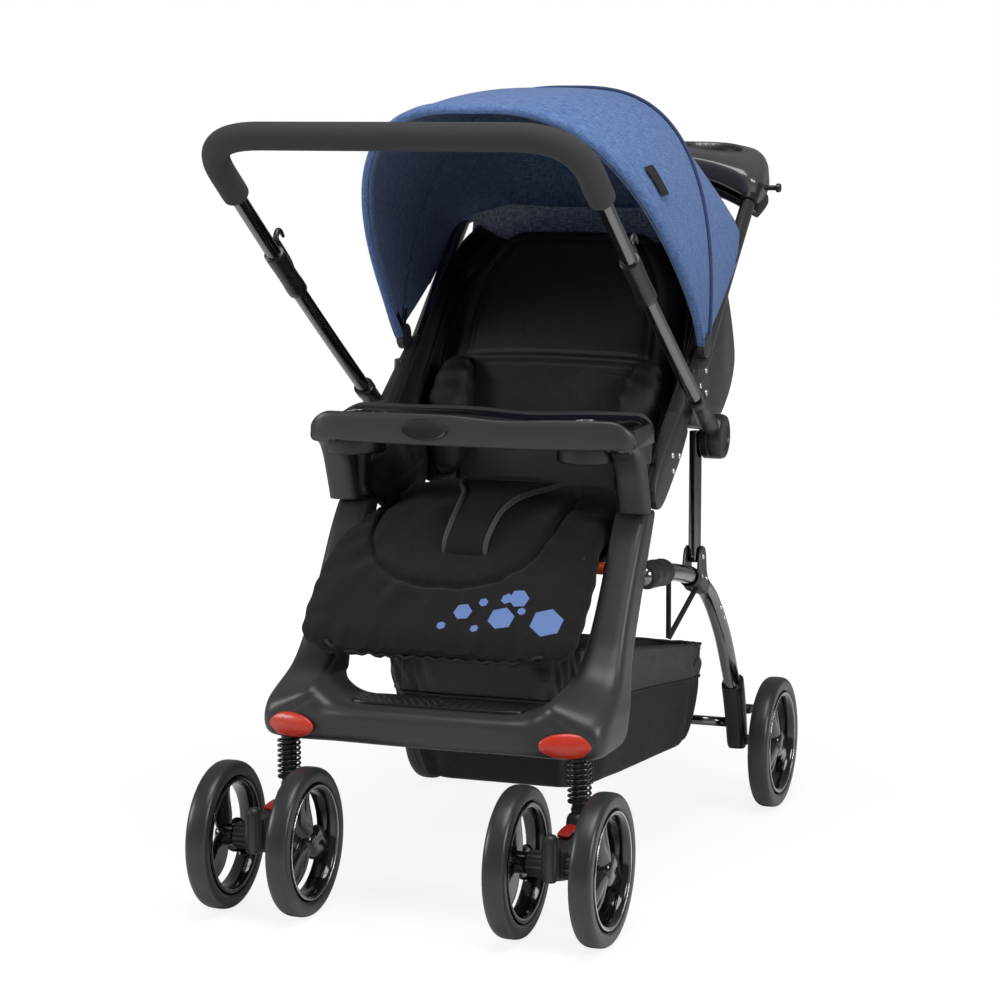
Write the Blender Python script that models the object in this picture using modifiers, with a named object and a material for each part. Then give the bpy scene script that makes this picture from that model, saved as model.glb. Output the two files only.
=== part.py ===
"""Lightweight stroller with a handle that swings from the rear to the front.

Metres, +Z up. The child faces -Y and the child's left is +X. While the model is
laid out, y counts from the front wheel axle and z from the ground; at the end
the whole stroller is centred over the origin.
"""
import math

import bmesh
import bpy
import numpy as np
from mathutils import Matrix, Vector

# Clearances
GAP = 0.0003
RUNNING = 0.0005
SIDE_PLAY = 0.0008

# Wheels
WHEEL_R = 0.0875
TYRE_WIDTH = 0.027
TYRE_DEPTH = 0.0195
RIM_WALL = 0.009
RIM_WIDTH = 0.023
HUB_R = 0.013
AXLE_R = 0.0053
FRONT_TRACK = 0.364
TWIN_PITCH = 0.101
REAR_WHEEL_X = 0.245
REAR_AXLE_Y = 0.701
WHEEL_STEPS = 28
SPOKES = 3

# Caster and spring
CASTER_TRAIL = 0.069
BLOCK_TOP = 0.1335
BLOCK_BOTTOM = 0.066
BARREL_R = 0.0155
NECK_R = 0.008
ROD_R = 0.0062
ROD = 0.0042
COLLAR_Z = 0.1445
COLLAR_THICK = 0.003
SUSPENSION_TRAVEL = 0.012
SPRING_R = 0.0125
WIRE_R = 0.0015
SPRING_TURNS = 6

# Front frame
LEG_TOP_Z = 0.4532
FOOT_TOP_Z = 0.240
FOOT_BOTTOM_Z = 0.195
FOOT_Y = 0.097
FOOT_HALF_DEPTH = 0.0535
TREAD_HALF_LENGTH = 0.108
TREAD_HALF_WIDTH = 0.026
TREAD_THICK = 0.003
POST_X = 0.1808
POST_Y = 0.285
POST_R = 0.0145

# Fold linkage: pivots as (y, z)
FOLD_PIVOT = (0.298, 0.475)
REAR_PIVOT = (0.235, 0.383)
STRUT_FOOT = (0.483, 0.370)
HUB = (0.483, 0.524)
SIDE_X = 0.196
BRACKET_INNER_X = 0.1957
BRACKET_OUTER_X = 0.2070
BRACKET_ANGLE = math.radians(34.4)
BRACKET_LENGTH = 0.272
BRACKET_HALF_WIDTH = 0.021
LEG_RELIEF_R = 0.055
LEG_RELIEF_X = 0.2009
MAIN_TUBE_R = 0.0095
REAR_TUBE_R = 0.011
STRUT_R = 0.0072
EAR_THICK = 0.0024

# Handle
HUB_DISC_R = 0.0283
HUB_OUTER_X = 0.235
ARM_X = 0.2205
SOCKET_R = 0.0122
SOCKET_REACH = 0.1035
ARM_R = 0.0093
BAR_Y = -0.070
BAR_Z = 0.903
GRIP_R = 0.016
SLEEVE_R = 0.0123
SLEEVE_START = 0.347
SLEEVE_END = 0.4196
CATCH_REACH = 0.4236
CATCH_ANGLE = math.radians(45.65)
CATCH_R = 0.0035
CATCH_DROP = 0.0244

# Canopy
CANOPY_PIVOT = (0.492, 0.638)
FRONT_BOW_ANGLE = math.radians(134.5)
MID_BOW_ANGLE = math.radians(77.5)
FRONT_BOW_REACH = 0.410
MID_BOW_REACH = 0.325
BOW_HALF_WIDTH = 0.0036
BOW_THICK = 0.0034
FABRIC = 0.0022

# Seat
SEAT_HALF_X = 0.150
BACK_PIVOT = (0.440, 0.456)
BACK_TOP = (0.612, 0.768)
BACK_HALF_X = 0.160
BACK_THICK = 0.034
LEG_REST_PIVOT = (0.208, 0.401)
LEG_REST_END = (0.098, 0.300)
LEG_REST_HALF_X = 0.166
BUTTON_R = 0.0075
BUTTON_TRAVEL = 0.0040
BUTTON = (0.232, 0.390)

# Trays
TRAY_HALF_X = 0.2075
TRAY_BOTTOM_Z = 0.5340
TRAY_TOP_Z = 0.5760
CUP_R = 0.036
CUP_WALL = 0.003
CUP_BOTTOM_Z = 0.506
CONSOLE_HALF_X = 0.2050

# Basket
BASKET_WALL = 0.0025

# Details that several pieces share
TONGUE_HALF = 0.0100
TONGUE_THICK = 0.0090
TONGUE_INSET = 0.0130
LENS_PLACE = (0.1735, 0.0525, 0.2130)
LENS_AXES = (0.0300, 0.0050, 0.0135)
LENS_TURN = math.radians(14.0)
BOW_INNER_X = 0.1998
CONSOLE_FOOT = (0.7330, 0.8185)
ARM_ANGLE_LOW = math.radians(147.6)
ARM_ANGLE_HIGH = math.radians(145.6)
BOW_STEPS = 22
CANOPY_SKIP = 3
CANOPY_CROWN = 0.010
REAR_HEM_ANGLE = math.radians(41.0)
REAR_HEM_REACH = 0.262
FOOT_TOP = (0.6780, 0.1590)
FOOT_HALF_X = 0.0125
CROSS = (0.6900, 0.1120)
PIN_R = 0.0030
PEDAL_PIVOT = (0.7140, 0.1260)
STRAP_LOOP = (0.5365, 0.3163)
FRONT_TAB_X = 0.1540
LOCK_PIVOT = (0.0440, 0.1202)

SIDES = (("left", 1), ("right", -1))

STEEL = ("dark_steel", (0.035, 0.036, 0.040), 0.18, 1.0)
CHARCOAL = ("charcoal_plastic", (0.045, 0.046, 0.048), 0.45, 0.0)
BLACK = ("black_plastic", (0.018, 0.018, 0.019), 0.35, 0.0)
GLOSS = ("gloss_black", (0.010, 0.010, 0.011), 0.12, 0.0)
RUBBER = ("tyre_rubber", (0.040, 0.041, 0.044), 0.50, 0.0)
FOAM = ("grip_foam", (0.036, 0.036, 0.040), 0.90, 0.0)
SEAT_CLOTH = ("seat_cloth", (0.014, 0.014, 0.015), 0.80, 0.0)
BASKET_CLOTH = ("basket_cloth", (0.030, 0.030, 0.032), 0.70, 0.0)
BLUE_CLOTH = ("canopy_cloth", (0.060, 0.105, 0.270), 0.85, 0.0)
RED_LENS = ("red_lens", (0.620, 0.035, 0.020), 0.20, 0.0)
RED_PLASTIC = ("red_plastic", (0.480, 0.030, 0.020), 0.40, 0.0)
ORANGE = ("orange_plastic", (0.800, 0.110, 0.015), 0.40, 0.0)

model = bpy.data.collections.new("stroller")
guides = bpy.data.collections.new("cutters")
pivots = {}


def clear_scene():
    """Remove the start-up objects and link the two collections."""
    for thing in list(bpy.data.objects):
        bpy.data.objects.remove(thing)
    bpy.context.scene.collection.children.link(model)
    bpy.context.scene.collection.children.link(guides)


def material(finish):
    """A Principled material named for the finish, made once."""
    name, colour, roughness, metallic = finish
    found = bpy.data.materials.get(name)
    if found:
        return found
    made = bpy.data.materials.new(name)
    made.use_nodes = True
    shader = made.node_tree.nodes["Principled BSDF"]
    shader.inputs["Base Color"].default_value = (*colour, 1.0)
    shader.inputs["Roughness"].default_value = roughness
    shader.inputs["Metallic"].default_value = metallic
    return made


def add_pivot(name, place, parent=None):
    """An empty on a joint's axis, which carries a moving body."""
    empty = bpy.data.objects.new("pivot_" + name, None)
    empty.empty_display_size = 0.03
    model.objects.link(empty)
    place = Vector(place)
    if parent:
        empty.parent = pivots[parent][0]
        empty.location = place - pivots[parent][1]
    else:
        empty.location = place
    pivots[name] = (empty, place)


def carry(thing, body):
    """Hang an object, laid out in the stroller's coordinates, on a body's empty."""
    empty, place = pivots[body]
    thing.parent = empty
    thing.location = thing.location - place
    return thing


def finish_object(thing, finish):
    thing.data.materials.clear()
    thing.data.materials.append(material(finish))
    return thing


def mesh_object(name, vertices, faces, finish, smooth=35.0):
    """An object from vertices and faces, with its normals turned outwards."""
    mesh = bpy.data.meshes.new(name)
    mesh.from_pydata([tuple(v) for v in vertices], [], faces)
    work = bmesh.new()
    work.from_mesh(mesh)
    bmesh.ops.recalc_face_normals(work, faces=work.faces)
    work.to_mesh(mesh)
    work.free()
    mesh.shade_smooth()
    mesh.set_sharp_from_angle(angle=math.radians(smooth))
    thing = bpy.data.objects.new(name, mesh)
    model.objects.link(thing)
    return finish_object(thing, finish)


def to_mesh(thing):
    """Turn a curve or a modified mesh into a plain welded mesh object."""
    bpy.context.view_layer.update()
    shape = thing.evaluated_get(bpy.context.evaluated_depsgraph_get())
    mesh = bpy.data.meshes.new_from_object(shape)
    work = bmesh.new()
    work.from_mesh(mesh)
    bmesh.ops.remove_doubles(work, verts=work.verts, dist=0.00001)
    bmesh.ops.recalc_face_normals(work, faces=work.faces)
    work.to_mesh(mesh)
    work.free()
    name, place = thing.name, thing.matrix_world.copy()
    bpy.data.objects.remove(thing)
    made = bpy.data.objects.new(name, mesh)
    made.matrix_world = place
    model.objects.link(made)
    return made


def combine(thing, other, operation):
    """Add a Boolean; the other object becomes a hidden guide beside the model."""
    for collection in list(other.users_collection):
        collection.objects.unlink(other)
    guides.objects.link(other)
    other.hide_render = True
    other.display_type = "WIRE"
    other.parent = thing.parent
    change = thing.modifiers.new(operation.lower(), "BOOLEAN")
    change.operation = operation
    change.solver = "EXACT"
    change.object = other
    return thing


def join(thing, other):
    return combine(thing, other, "UNION")


def cut(thing, other):
    return combine(thing, other, "DIFFERENCE")


def loft(name, rings, finish, smooth=35.0):
    """A closed solid through rings of equal point count, with flat end faces."""
    count = len(rings[0])
    vertices = [point for ring in rings for point in ring]
    faces = []
    for i in range(len(rings) - 1):
        for j in range(count):
            k = (j + 1) % count
            faces.append((i * count + j, i * count + k, (i + 1) * count + k, (i + 1) * count + j))
    faces.append(tuple(range(count)))
    faces.append(tuple(range((len(rings) - 1) * count, len(rings) * count)))
    return mesh_object(name, vertices, faces, finish, smooth)


def squircle(centre, across, up, count=16, power=0.5):
    """A ring between an ellipse (power 1) and a rectangle (power 0)."""
    centre, across, up = Vector(centre), Vector(across), Vector(up)
    ring = []
    for i in range(count):
        turn = 2 * math.pi * (i + 0.5) / count
        c, s = math.cos(turn), math.sin(turn)
        ring.append(
            centre
            + across * math.copysign(abs(c) ** power, c)
            + up * math.copysign(abs(s) ** power, s)
        )
    return ring


def smooth_path(points, steps):
    """Catmull-Rom points through a few route points, evenly split per span."""
    points = [Vector(p) for p in points]
    ends = [2 * points[0] - points[1], *points, 2 * points[-1] - points[-2]]
    path = []
    for a, b, c, d in zip(ends, ends[1:], ends[2:], ends[3:]):
        for i in range(steps):
            t = i / steps
            path.append(
                0.5
                * (
                    2 * b
                    + (c - a) * t
                    + (2 * a - 5 * b + 4 * c - d) * t * t
                    + (3 * b - a - 3 * c + d) * t**3
                )
            )
    path.append(points[-1])
    return path


def tube(name, path, radius, finish, resolution=2):
    """A round bar along a path, as a curve with filled caps."""
    curve = bpy.data.curves.new(name, "CURVE")
    curve.dimensions = "3D"
    curve.bevel_depth = radius
    curve.bevel_resolution = resolution
    curve.use_fill_caps = True
    curve.twist_mode = "MINIMUM"
    spline = curve.splines.new("POLY")
    spline.points.add(len(path) - 1)
    for point, place in zip(spline.points, path):
        point.co = (*place, 1.0)
    thing = bpy.data.objects.new(name, curve)
    model.objects.link(thing)
    return finish_object(thing, finish)


def side_plate(name, outline, inner_x, outer_x, finish, holes=(), edge=0.0):
    """A flat plate in the YZ plane from inner_x to outer_x; outline is (y, z)."""
    curve = bpy.data.curves.new(name, "CURVE")
    curve.dimensions = "2D"
    curve.fill_mode = "BOTH"
    curve.extrude = abs(outer_x - inner_x) / 2 - edge
    curve.bevel_depth = edge
    curve.bevel_resolution = 0
    curve.offset = -edge
    for loop in (outline, *holes):
        spline = curve.splines.new("POLY")
        spline.points.add(len(loop) - 1)
        spline.use_cyclic_u = True
        for point, (y, z) in zip(spline.points, loop):
            point.co = (y, z, 0.0, 1.0)
    thing = bpy.data.objects.new(name, curve)
    thing.matrix_world = Matrix(
        ((0, 0, 1, (inner_x + outer_x) / 2), (1, 0, 0, 0), (0, 1, 0, 0), (0, 0, 0, 1))
    )
    model.objects.link(thing)
    return finish_object(to_mesh(thing), finish)


def cylinder(name, radius, start, end, finish, steps=16):
    """A round bar with flat ends between two points."""
    start, end = Vector(start), Vector(end)
    along = end - start
    bpy.ops.mesh.primitive_cylinder_add(
        vertices=steps,
        radius=radius,
        depth=along.length,
        location=(start + end) / 2,
        rotation=along.to_track_quat("Z", "Y").to_euler(),
    )
    return adopt(name, finish)


def ellipsoid(name, centre, axes, turn_z, finish, segments=16, rings=8):
    """A stretched ball, turned about Z."""
    bpy.ops.mesh.primitive_uv_sphere_add(
        segments=segments, ring_count=rings, radius=1.0, location=centre, rotation=(0, 0, turn_z)
    )
    thing = adopt(name, finish)
    thing.data.transform(Matrix.Diagonal((*axes, 1.0)))
    return thing


def adopt(name, finish):
    """Name the primitive that was just added and move it into the model."""
    thing = bpy.context.active_object
    thing.name = name
    thing.data.name = name
    for collection in list(thing.users_collection):
        collection.objects.unlink(thing)
    model.objects.link(thing)
    thing.data.shade_smooth()
    thing.data.set_sharp_from_angle(angle=math.radians(35.0))
    return finish_object(thing, finish)


def rounded_box(name, size, centre, edge, finish, turn_x=0.0):
    """A cube primitive brought to size, with bevelled edges."""
    bpy.ops.mesh.primitive_cube_add(size=1.0, location=centre, rotation=(turn_x, 0, 0))
    thing = adopt(name, finish)
    thing.data.transform(Matrix.Diagonal((*size, 1.0)))
    bevel = thing.modifiers.new("edges", "BEVEL")
    bevel.width = edge
    bevel.segments = 1
    return thing


def turned(name, profile, centre, finish, steps=WHEEL_STEPS):
    """A profile of (radius, height) turned about an axle along X."""
    mesh = bpy.data.meshes.new(name)
    count = len(profile)
    edges = [(i, (i + 1) % count) for i in range(count)]
    mesh.from_pydata([(r, 0.0, h) for r, h in profile], edges, [])
    thing = bpy.data.objects.new(name, mesh)
    thing.matrix_world = Matrix.Translation(centre) @ Matrix.Rotation(math.pi / 2, 4, "Y")
    model.objects.link(thing)
    screw = thing.modifiers.new("turn", "SCREW")
    screw.steps = steps
    screw.render_steps = steps
    screw.use_merge_vertices = True
    screw.merge_threshold = 0.00001
    screw.use_smooth_shade = True
    return finish_object(thing, finish)


def arc(centre, radius, start, end, steps):
    """Points (y, z) along a round stretch, angles in degrees."""
    points = []
    for i in range(steps + 1):
        turn = math.radians(start + (end - start) * i / steps)
        points.append((centre[0] + radius * math.cos(turn), centre[1] + radius * math.sin(turn)))
    return points


def polar(centre, reach, angle):
    return centre[0] + reach * math.cos(angle), centre[1] + reach * math.sin(angle)


def make_tyre(name, x, y, body):
    """A tyre with a crowned tread, turned about the axle."""
    half = TYRE_WIDTH / 2
    bead = WHEEL_R - TYRE_DEPTH
    profile = [
        (bead, half * 0.86),
        (WHEEL_R - 0.006, half),
        (WHEEL_R - 0.0012, half * 0.56),
        (WHEEL_R, 0.0),
        (WHEEL_R - 0.0012, -half * 0.56),
        (WHEEL_R - 0.006, -half),
        (bead, -half * 0.86),
    ]
    carry(turned(name, profile, (x, y, WHEEL_R), RUBBER), body)


def make_rim(name, x, y, body, outward):
    """Rim band, three broad spokes and a bored hub, joined."""
    seat = WHEEL_R - TYRE_DEPTH - GAP
    half = RIM_WIDTH / 2
    band = [
        (seat - RIM_WALL * 0.45, half),
        (seat, half),
        (seat, -half),
        (seat - RIM_WALL * 0.45, -half),
        (seat - RIM_WALL * 0.75, 0.0),
    ]
    rim = turned(name, band, (x, y, WHEEL_R), GLOSS)
    rim = finish_object(to_mesh(rim), GLOSS)
    outline = []
    for n in range(SPOKES):
        middle = 90 + 360 * n / SPOKES
        root, tip = 26.0, 15.0
        outline += arc((y, WHEEL_R), seat - RIM_WALL * 0.3, middle - tip, middle + tip, 2)
        outline += arc((y, WHEEL_R), HUB_R * 1.25, middle + root, middle + 360 / SPOKES - root, 1)
    web = side_plate(name + "_web", outline, x - 0.003, x + 0.005, GLOSS)
    if outward < 0:
        web.location.x -= 0.002
    join(rim, web)
    join(
        rim,
        cylinder(name + "_hub", HUB_R, (x - half, y, WHEEL_R), (x + half, y, WHEEL_R), GLOSS, 16),
    )
    reach = half + 0.01
    cut(
        rim,
        cylinder(
            name + "_bore",
            AXLE_R + RUNNING,
            (x - reach, y, WHEEL_R),
            (x + reach, y, WHEEL_R),
            GLOSS,
            16,
        ),
    )
    carry(finish_object(to_mesh(rim), GLOSS), body)


def make_wheel(place_name, x, y, parent, outward):
    body = place_name
    add_pivot(body, (x, y, WHEEL_R), parent)
    make_tyre(place_name + "_tyre", x, y, body)
    make_rim(place_name + "_rim", x, y, body, outward)


def make_front_frame():
    """Legs, corners and footrest as one moulding, lofted along the U."""
    half_foot = (FOOT_TOP_Z - FOOT_BOTTOM_Z) / 2
    foot_z = (FOOT_TOP_Z + FOOT_BOTTOM_Z) / 2
    stations = [
        ((0.1800, 0.2830, LEG_TOP_Z), (0.0205, 0, 0), (0, 0.0225, 0)),
        ((0.1805, 0.2560, 0.4130), (0.0210, 0, 0), (0, 0.0225, -0.0060)),
        ((0.1805, 0.2250, 0.3620), (0.0215, 0, 0), (0, 0.0210, -0.0125)),
        ((0.1800, 0.1820, 0.2930), (0.0250, 0, -0.0010), (0, 0.0220, -0.0140)),
        ((0.1800, 0.1600, 0.2630), (0.0290, 0, -0.0040), (0, 0.0310, -0.0100)),
        ((0.1795, 0.1180, 0.2460), (0.0345, 0, -0.0120), (0, 0.0580, -0.0020)),
        ((0.1710, 0.1070, 0.2280), (0.0400, 0, -0.0290), (0, 0.0530, 0)),
        ((0.1480, 0.1050, 0.2165), (0.0340, 0, -0.0235), (0, 0.0510, 0)),
        ((0.1050, 0.1000, foot_z), (0.0080, 0, -half_foot), (0, 0.0525, 0)),
        ((0.0000, FOOT_Y, foot_z), (0.0, 0, -half_foot), (0, FOOT_HALF_DEPTH, 0)),
    ]
    rings = [squircle(*station, power=0.48) for station in stations]
    mirror = [
        [Vector((-p.x, p.y, p.z)) for p in ring] for ring in reversed(rings[:-1])
    ]
    frame = loft("front_frame", rings + mirror, CHARCOAL, 50.0)
    for side, sign in SIDES:
        x = sign * SIDE_X
        reach = 0.08
        y, z = REAR_PIVOT
        notch = [
            (y + reach, z + TONGUE_HALF + 0.0018),
            *arc(REAR_PIVOT, TONGUE_HALF + 0.0018, 90, 180, 4),
            (y - TONGUE_HALF - 0.0018, z - reach),
            (y + reach, z - reach),
        ]
        inner = sign * (SIDE_X - TONGUE_INSET - TONGUE_THICK / 2 - SIDE_PLAY)
        outer = sign * (SIDE_X - TONGUE_INSET + TONGUE_THICK / 2 + SIDE_PLAY)
        cut(frame, side_plate(side + "_notch", notch, inner, outer, CHARCOAL))
        caster_x = sign * FRONT_TRACK / 2
        cut(
            frame,
            cylinder(
                side + "_stem_bore",
                ROD_R + 0.0010,
                (caster_x, CASTER_TRAIL, FOOT_BOTTOM_Z - 0.01),
                (caster_x, CASTER_TRAIL, FOOT_TOP_Z - 0.004),
                CHARCOAL,
                12,
            ),
        )
        cut(frame, reflector_ball(side + "_lens_seat", sign, GAP))
    carry(finish_object(to_mesh(frame), CHARCOAL), "root")


def reflector_ball(name, sign, grow):
    x, y, z = LENS_PLACE
    axes = [a + grow for a in LENS_AXES]
    return ellipsoid(name, (sign * x, y, z), axes, sign * LENS_TURN, RED_LENS, 16, 8)


def make_foot_parts():
    for side, sign in SIDES:
        carry(reflector_ball("reflector_" + side, sign, 0.0), "root")
    corner = TREAD_HALF_WIDTH * 0.9
    outline = []
    for cx, cy, start in (
        (TREAD_HALF_LENGTH - corner, TREAD_HALF_WIDTH - corner, 0),
        (-TREAD_HALF_LENGTH + corner, TREAD_HALF_WIDTH - corner, 90),
        (-TREAD_HALF_LENGTH + corner, -TREAD_HALF_WIDTH + corner, 180),
        (TREAD_HALF_LENGTH - corner, -TREAD_HALF_WIDTH + corner, 270),
    ):
        outline += arc((cx, cy), corner, start, start + 90, 4)
    curve = bpy.data.curves.new("footrest_tread", "CURVE")
    curve.dimensions = "2D"
    curve.fill_mode = "BOTH"
    curve.extrude = TREAD_THICK / 2
    spline = curve.splines.new("POLY")
    spline.points.add(len(outline) - 1)
    spline.use_cyclic_u = True
    for point, (x, y) in zip(spline.points, outline):
        point.co = (x, y, 0.0, 1.0)
    tread = bpy.data.objects.new("footrest_tread", curve)
    tread.location = (0.0, FOOT_Y, FOOT_TOP_Z + GAP + TREAD_THICK / 2)
    model.objects.link(tread)
    carry(finish_object(to_mesh(tread), RUBBER), "root")


def make_posts():
    for side, sign in SIDES:
        x = sign * POST_X
        post = cylinder(
            "post_" + side,
            POST_R,
            (x, POST_Y, LEG_TOP_Z + GAP),
            (x, POST_Y, TRAY_BOTTOM_Z - GAP),
            BLACK,
            20,
        )
        carry(post, "root")


def pad_rings(centre_line, half_widths, thickness, crown, count=16):
    """Rings across X along a centre line of (y, z), for a crowned pad."""
    rings = []
    last = len(centre_line) - 1
    for i, (y, z) in enumerate(centre_line):
        before = centre_line[max(i - 1, 0)]
        after = centre_line[min(i + 1, last)]
        along = Vector((0, after[0] - before[0], after[1] - before[1])).normalized()
        up = Vector((0, -along.z, along.y))
        half = thickness / 2 * (0.55 if i in (0, last) else 1.0)
        ring = squircle((0, y, z), (half_widths[i], 0, 0), up * half, count, 0.55)
        width = half_widths[i]
        rings.append([p + up * crown * (1 - (p.x / width) ** 2) for p in ring])
    return rings


def make_seat():
    board = rounded_box(
        "seat_board",
        (2 * SEAT_HALF_X, 0.180, 0.008),
        (0, 0.3050, 0.4060),
        0.002,
        BLACK,
        math.radians(12.5),
    )
    for side, sign in SIDES:
        low, high = (sign * x for x in (SEAT_HALF_X - BUTTON_TRAVEL - 0.0012, SEAT_HALF_X + 0.01))
        room = cylinder(side + "_button_room", BUTTON_R + 0.0006, (low, *BUTTON), (high, *BUTTON), BLACK)
        cut(board, room)
    for name, place, half, size, tail in (
        ("back", BACK_PIVOT, SEAT_HALF_X - 0.0115, 0.0080, ((0.3800, 0.4170), (0.3800, 0.4260))),
        ("front", LEG_REST_PIVOT, SEAT_HALF_X - 0.0075, 0.0066, ((0.2400, 0.3870), (0.2400, 0.3930))),
    ):
        rod = cylinder(name + "_rod", ROD, (-half, *place), (half, *place), BLACK, 12)
        join(board, rod)
        for side, sign in SIDES:
            if name == "back":
                lug = [tail[0], *arc(place, size, -60, 120, 6), tail[1]]
            else:
                lug = [tail[1], *arc(place, size, 50, 230, 6), (0.2160, 0.3850), tail[0]]
            inner, outer = sign * (half - 0.0062), sign * half
            join(board, side_plate(side + "_" + name + "_lug", lug, inner, outer, BLACK))
    carry(finish_object(to_mesh(board), BLACK), "root")
    line = [(0.2300, 0.4060), (0.2500, 0.4190), (0.3000, 0.4306), (0.3500, 0.4417), (0.3950, 0.4428)]
    widths = [SEAT_HALF_X - trim for trim in (0.004, 0.0, 0.0, 0.002, 0.008)]
    carry(loft("seat_pad", pad_rings(line, widths, 0.040, 0.004), SEAT_CLOTH, 60.0), "root")
    strap_line = [(0.2440, 0.4447), (0.2700, 0.4544), (0.3050, 0.4599), (0.3400, 0.4659)]
    strap_widths = [0.030, 0.032, 0.040, 0.062]
    rings = pad_rings(strap_line, strap_widths, 0.008, 0.0, 12)
    carry(loft("crotch_strap", rings, SEAT_CLOTH, 60.0), "root")


def make_leg_rest():
    add_pivot("leg_rest", (0, *LEG_REST_PIVOT), "root")
    line = [
        (0.2150, 0.4068), (0.2000, 0.3942), (0.1880, 0.3838), (0.1650, 0.3625),
        (0.1350, 0.3330), (0.1090, 0.3090), LEG_REST_END,
    ]
    widths = [0.1325, 0.1325, 0.1560, LEG_REST_HALF_X, LEG_REST_HALF_X, 0.150, 0.128]
    rings = pad_rings(list(reversed(line)), list(reversed(widths)), 0.026, 0.004)
    rest = loft("leg_rest", rings, SEAT_CLOTH, 60.0)
    place = LEG_REST_PIVOT
    cut(rest, cylinder("rest_bore", ROD + 0.0003, (-0.20, *place), (0.20, *place), SEAT_CLOTH, 12))
    carry(finish_object(to_mesh(rest), SEAT_CLOTH), "leg_rest")
    for side, sign in SIDES:
        name = "release_button_" + side
        inner = sign * (SEAT_HALF_X - 0.0006)
        add_pivot(name, (inner, *BUTTON), "root")
        button = cylinder(name, BUTTON_R, (inner, *BUTTON), (inner + sign * 0.0094, *BUTTON), ORANGE, 16)
        carry(button, name)


def make_backrest():
    add_pivot("backrest", (0, *BACK_PIVOT), "root")
    low, high = Vector((0, *BACK_PIVOT)), Vector((0, *BACK_TOP))
    along = (high - low).normalized()
    back = Vector((0, along.z, -along.y))
    rings = []
    # share of the height, half width, front of the pad, depth to the rear
    for share, width, front, depth in (
        (-0.03, 0.126, -0.012, 0.022),
        (0.05, 0.129, -0.013, 0.028),
        (0.14, 0.150, -0.016, 0.040),
        (0.34, BACK_HALF_X, -0.018, 0.086),
        (0.52, BACK_HALF_X, -0.018, 0.122),
        (0.64, 0.158, -0.018, 0.096),
        (0.80, 0.147, -0.016, 0.052),
        (0.90, 0.124, -0.014, 0.040),
        (1.00, 0.094, -0.012, BACK_THICK),
    ):
        centre = low + (high - low) * share + back * (front + depth) / 2
        rings.append(squircle(centre, (width, 0, 0), back * (depth - front) / 2, 16, 0.55))
    backrest = loft("backrest", rings, SEAT_CLOTH, 60.0)
    bore = cylinder("back_bore", ROD + 0.0003, (-0.20, *BACK_PIVOT), (0.20, *BACK_PIVOT), SEAT_CLOTH, 12)
    cut(backrest, bore)
    carry(finish_object(to_mesh(backrest), SEAT_CLOTH), "backrest")


def on_bracket(along, across):
    """A point (y, z) counted along the bracket from the fold pivot."""
    c, s = math.cos(BRACKET_ANGLE), math.sin(BRACKET_ANGLE)
    return (
        FOLD_PIVOT[0] + along * c - across * s,
        FOLD_PIVOT[1] + along * s + across * c,
    )


def make_push_frame():
    """Riveted brackets, push tubes and the two shells of the parent console."""
    add_pivot("push_frame", (0, *FOLD_PIVOT), "root")
    turn = math.degrees(BRACKET_ANGLE)
    lug_low = HUB[1] + 0.024
    outline = [
        *arc(FOLD_PIVOT, BRACKET_HALF_WIDTH, turn + 90, turn + 270, 8),
        on_bracket(0.148, -BRACKET_HALF_WIDTH),
        (HUB[0] - 0.020, lug_low),
        (HUB[0] + 0.020, lug_low),
        on_bracket(0.232, -BRACKET_HALF_WIDTH * 0.9),
        on_bracket(BRACKET_LENGTH, -0.0120),
        on_bracket(BRACKET_LENGTH, 0.0180),
        *arc(CANOPY_PIVOT, 0.0165, 10, 140, 6),
        on_bracket(0.215, BRACKET_HALF_WIDTH * 1.05),
    ]
    for side, sign in SIDES:
        inner, outer = sign * BRACKET_INNER_X, sign * BRACKET_OUTER_X
        bracket = side_plate("fold_bracket_" + side, outline, inner, outer, CHARCOAL, (), 0.0012)
        pocket = cylinder(
            side + "_bow_pocket",
            0.0290,
            (sign * BOW_INNER_X - sign * SIDE_PLAY, *CANOPY_PIVOT),
            (outer + sign * 0.01, *CANOPY_PIVOT),
            CHARCOAL,
            24,
        )
        cut(bracket, pocket)
        relief = cylinder(
            side + "_leg_relief",
            LEG_RELIEF_R,
            (sign * 0.190, *FOLD_PIVOT),
            (sign * LEG_RELIEF_X, *FOLD_PIVOT),
            CHARCOAL,
            24,
        )
        cut(bracket, relief)
        carry(finish_object(to_mesh(bracket), CHARCOAL), "push_frame")
        start = on_bracket(BRACKET_LENGTH + 0.0019, 0.0)
        x = sign * SIDE_X
        route = [
            (x, *start),
            (x, 0.600, 0.7010),
            (x, 0.700, 0.7900),
            (x, *CONSOLE_FOOT),
        ]
        carry(tube("push_tube_" + side, smooth_path(route, 3), MAIN_TUBE_R, STEEL), "push_frame")
    make_console()


def console_ring(share, shell):
    """One section of the console across X: share runs from -1 to 1."""
    x = share * CONSOLE_HALF_X
    bend = share * share
    taper = 1 - 0.10 * bend**8
    centre = Vector((x, 0.793 - 0.030 * bend, 0.8680 - 0.0190 * bend))
    tilt = math.radians(8 + 30 * bend)
    along = Vector((0, math.cos(tilt), math.sin(tilt) * 0.45))
    up = Vector((0, -along.z, along.y)).normalized()
    if shell:
        centre = centre - up * 0.0302
        return squircle(centre, along * 0.050 * taper, up * 0.0095 * taper, 16, 0.6)
    return squircle(centre, along * 0.063 * taper, up * 0.0190 * taper, 16, 0.6)


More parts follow.
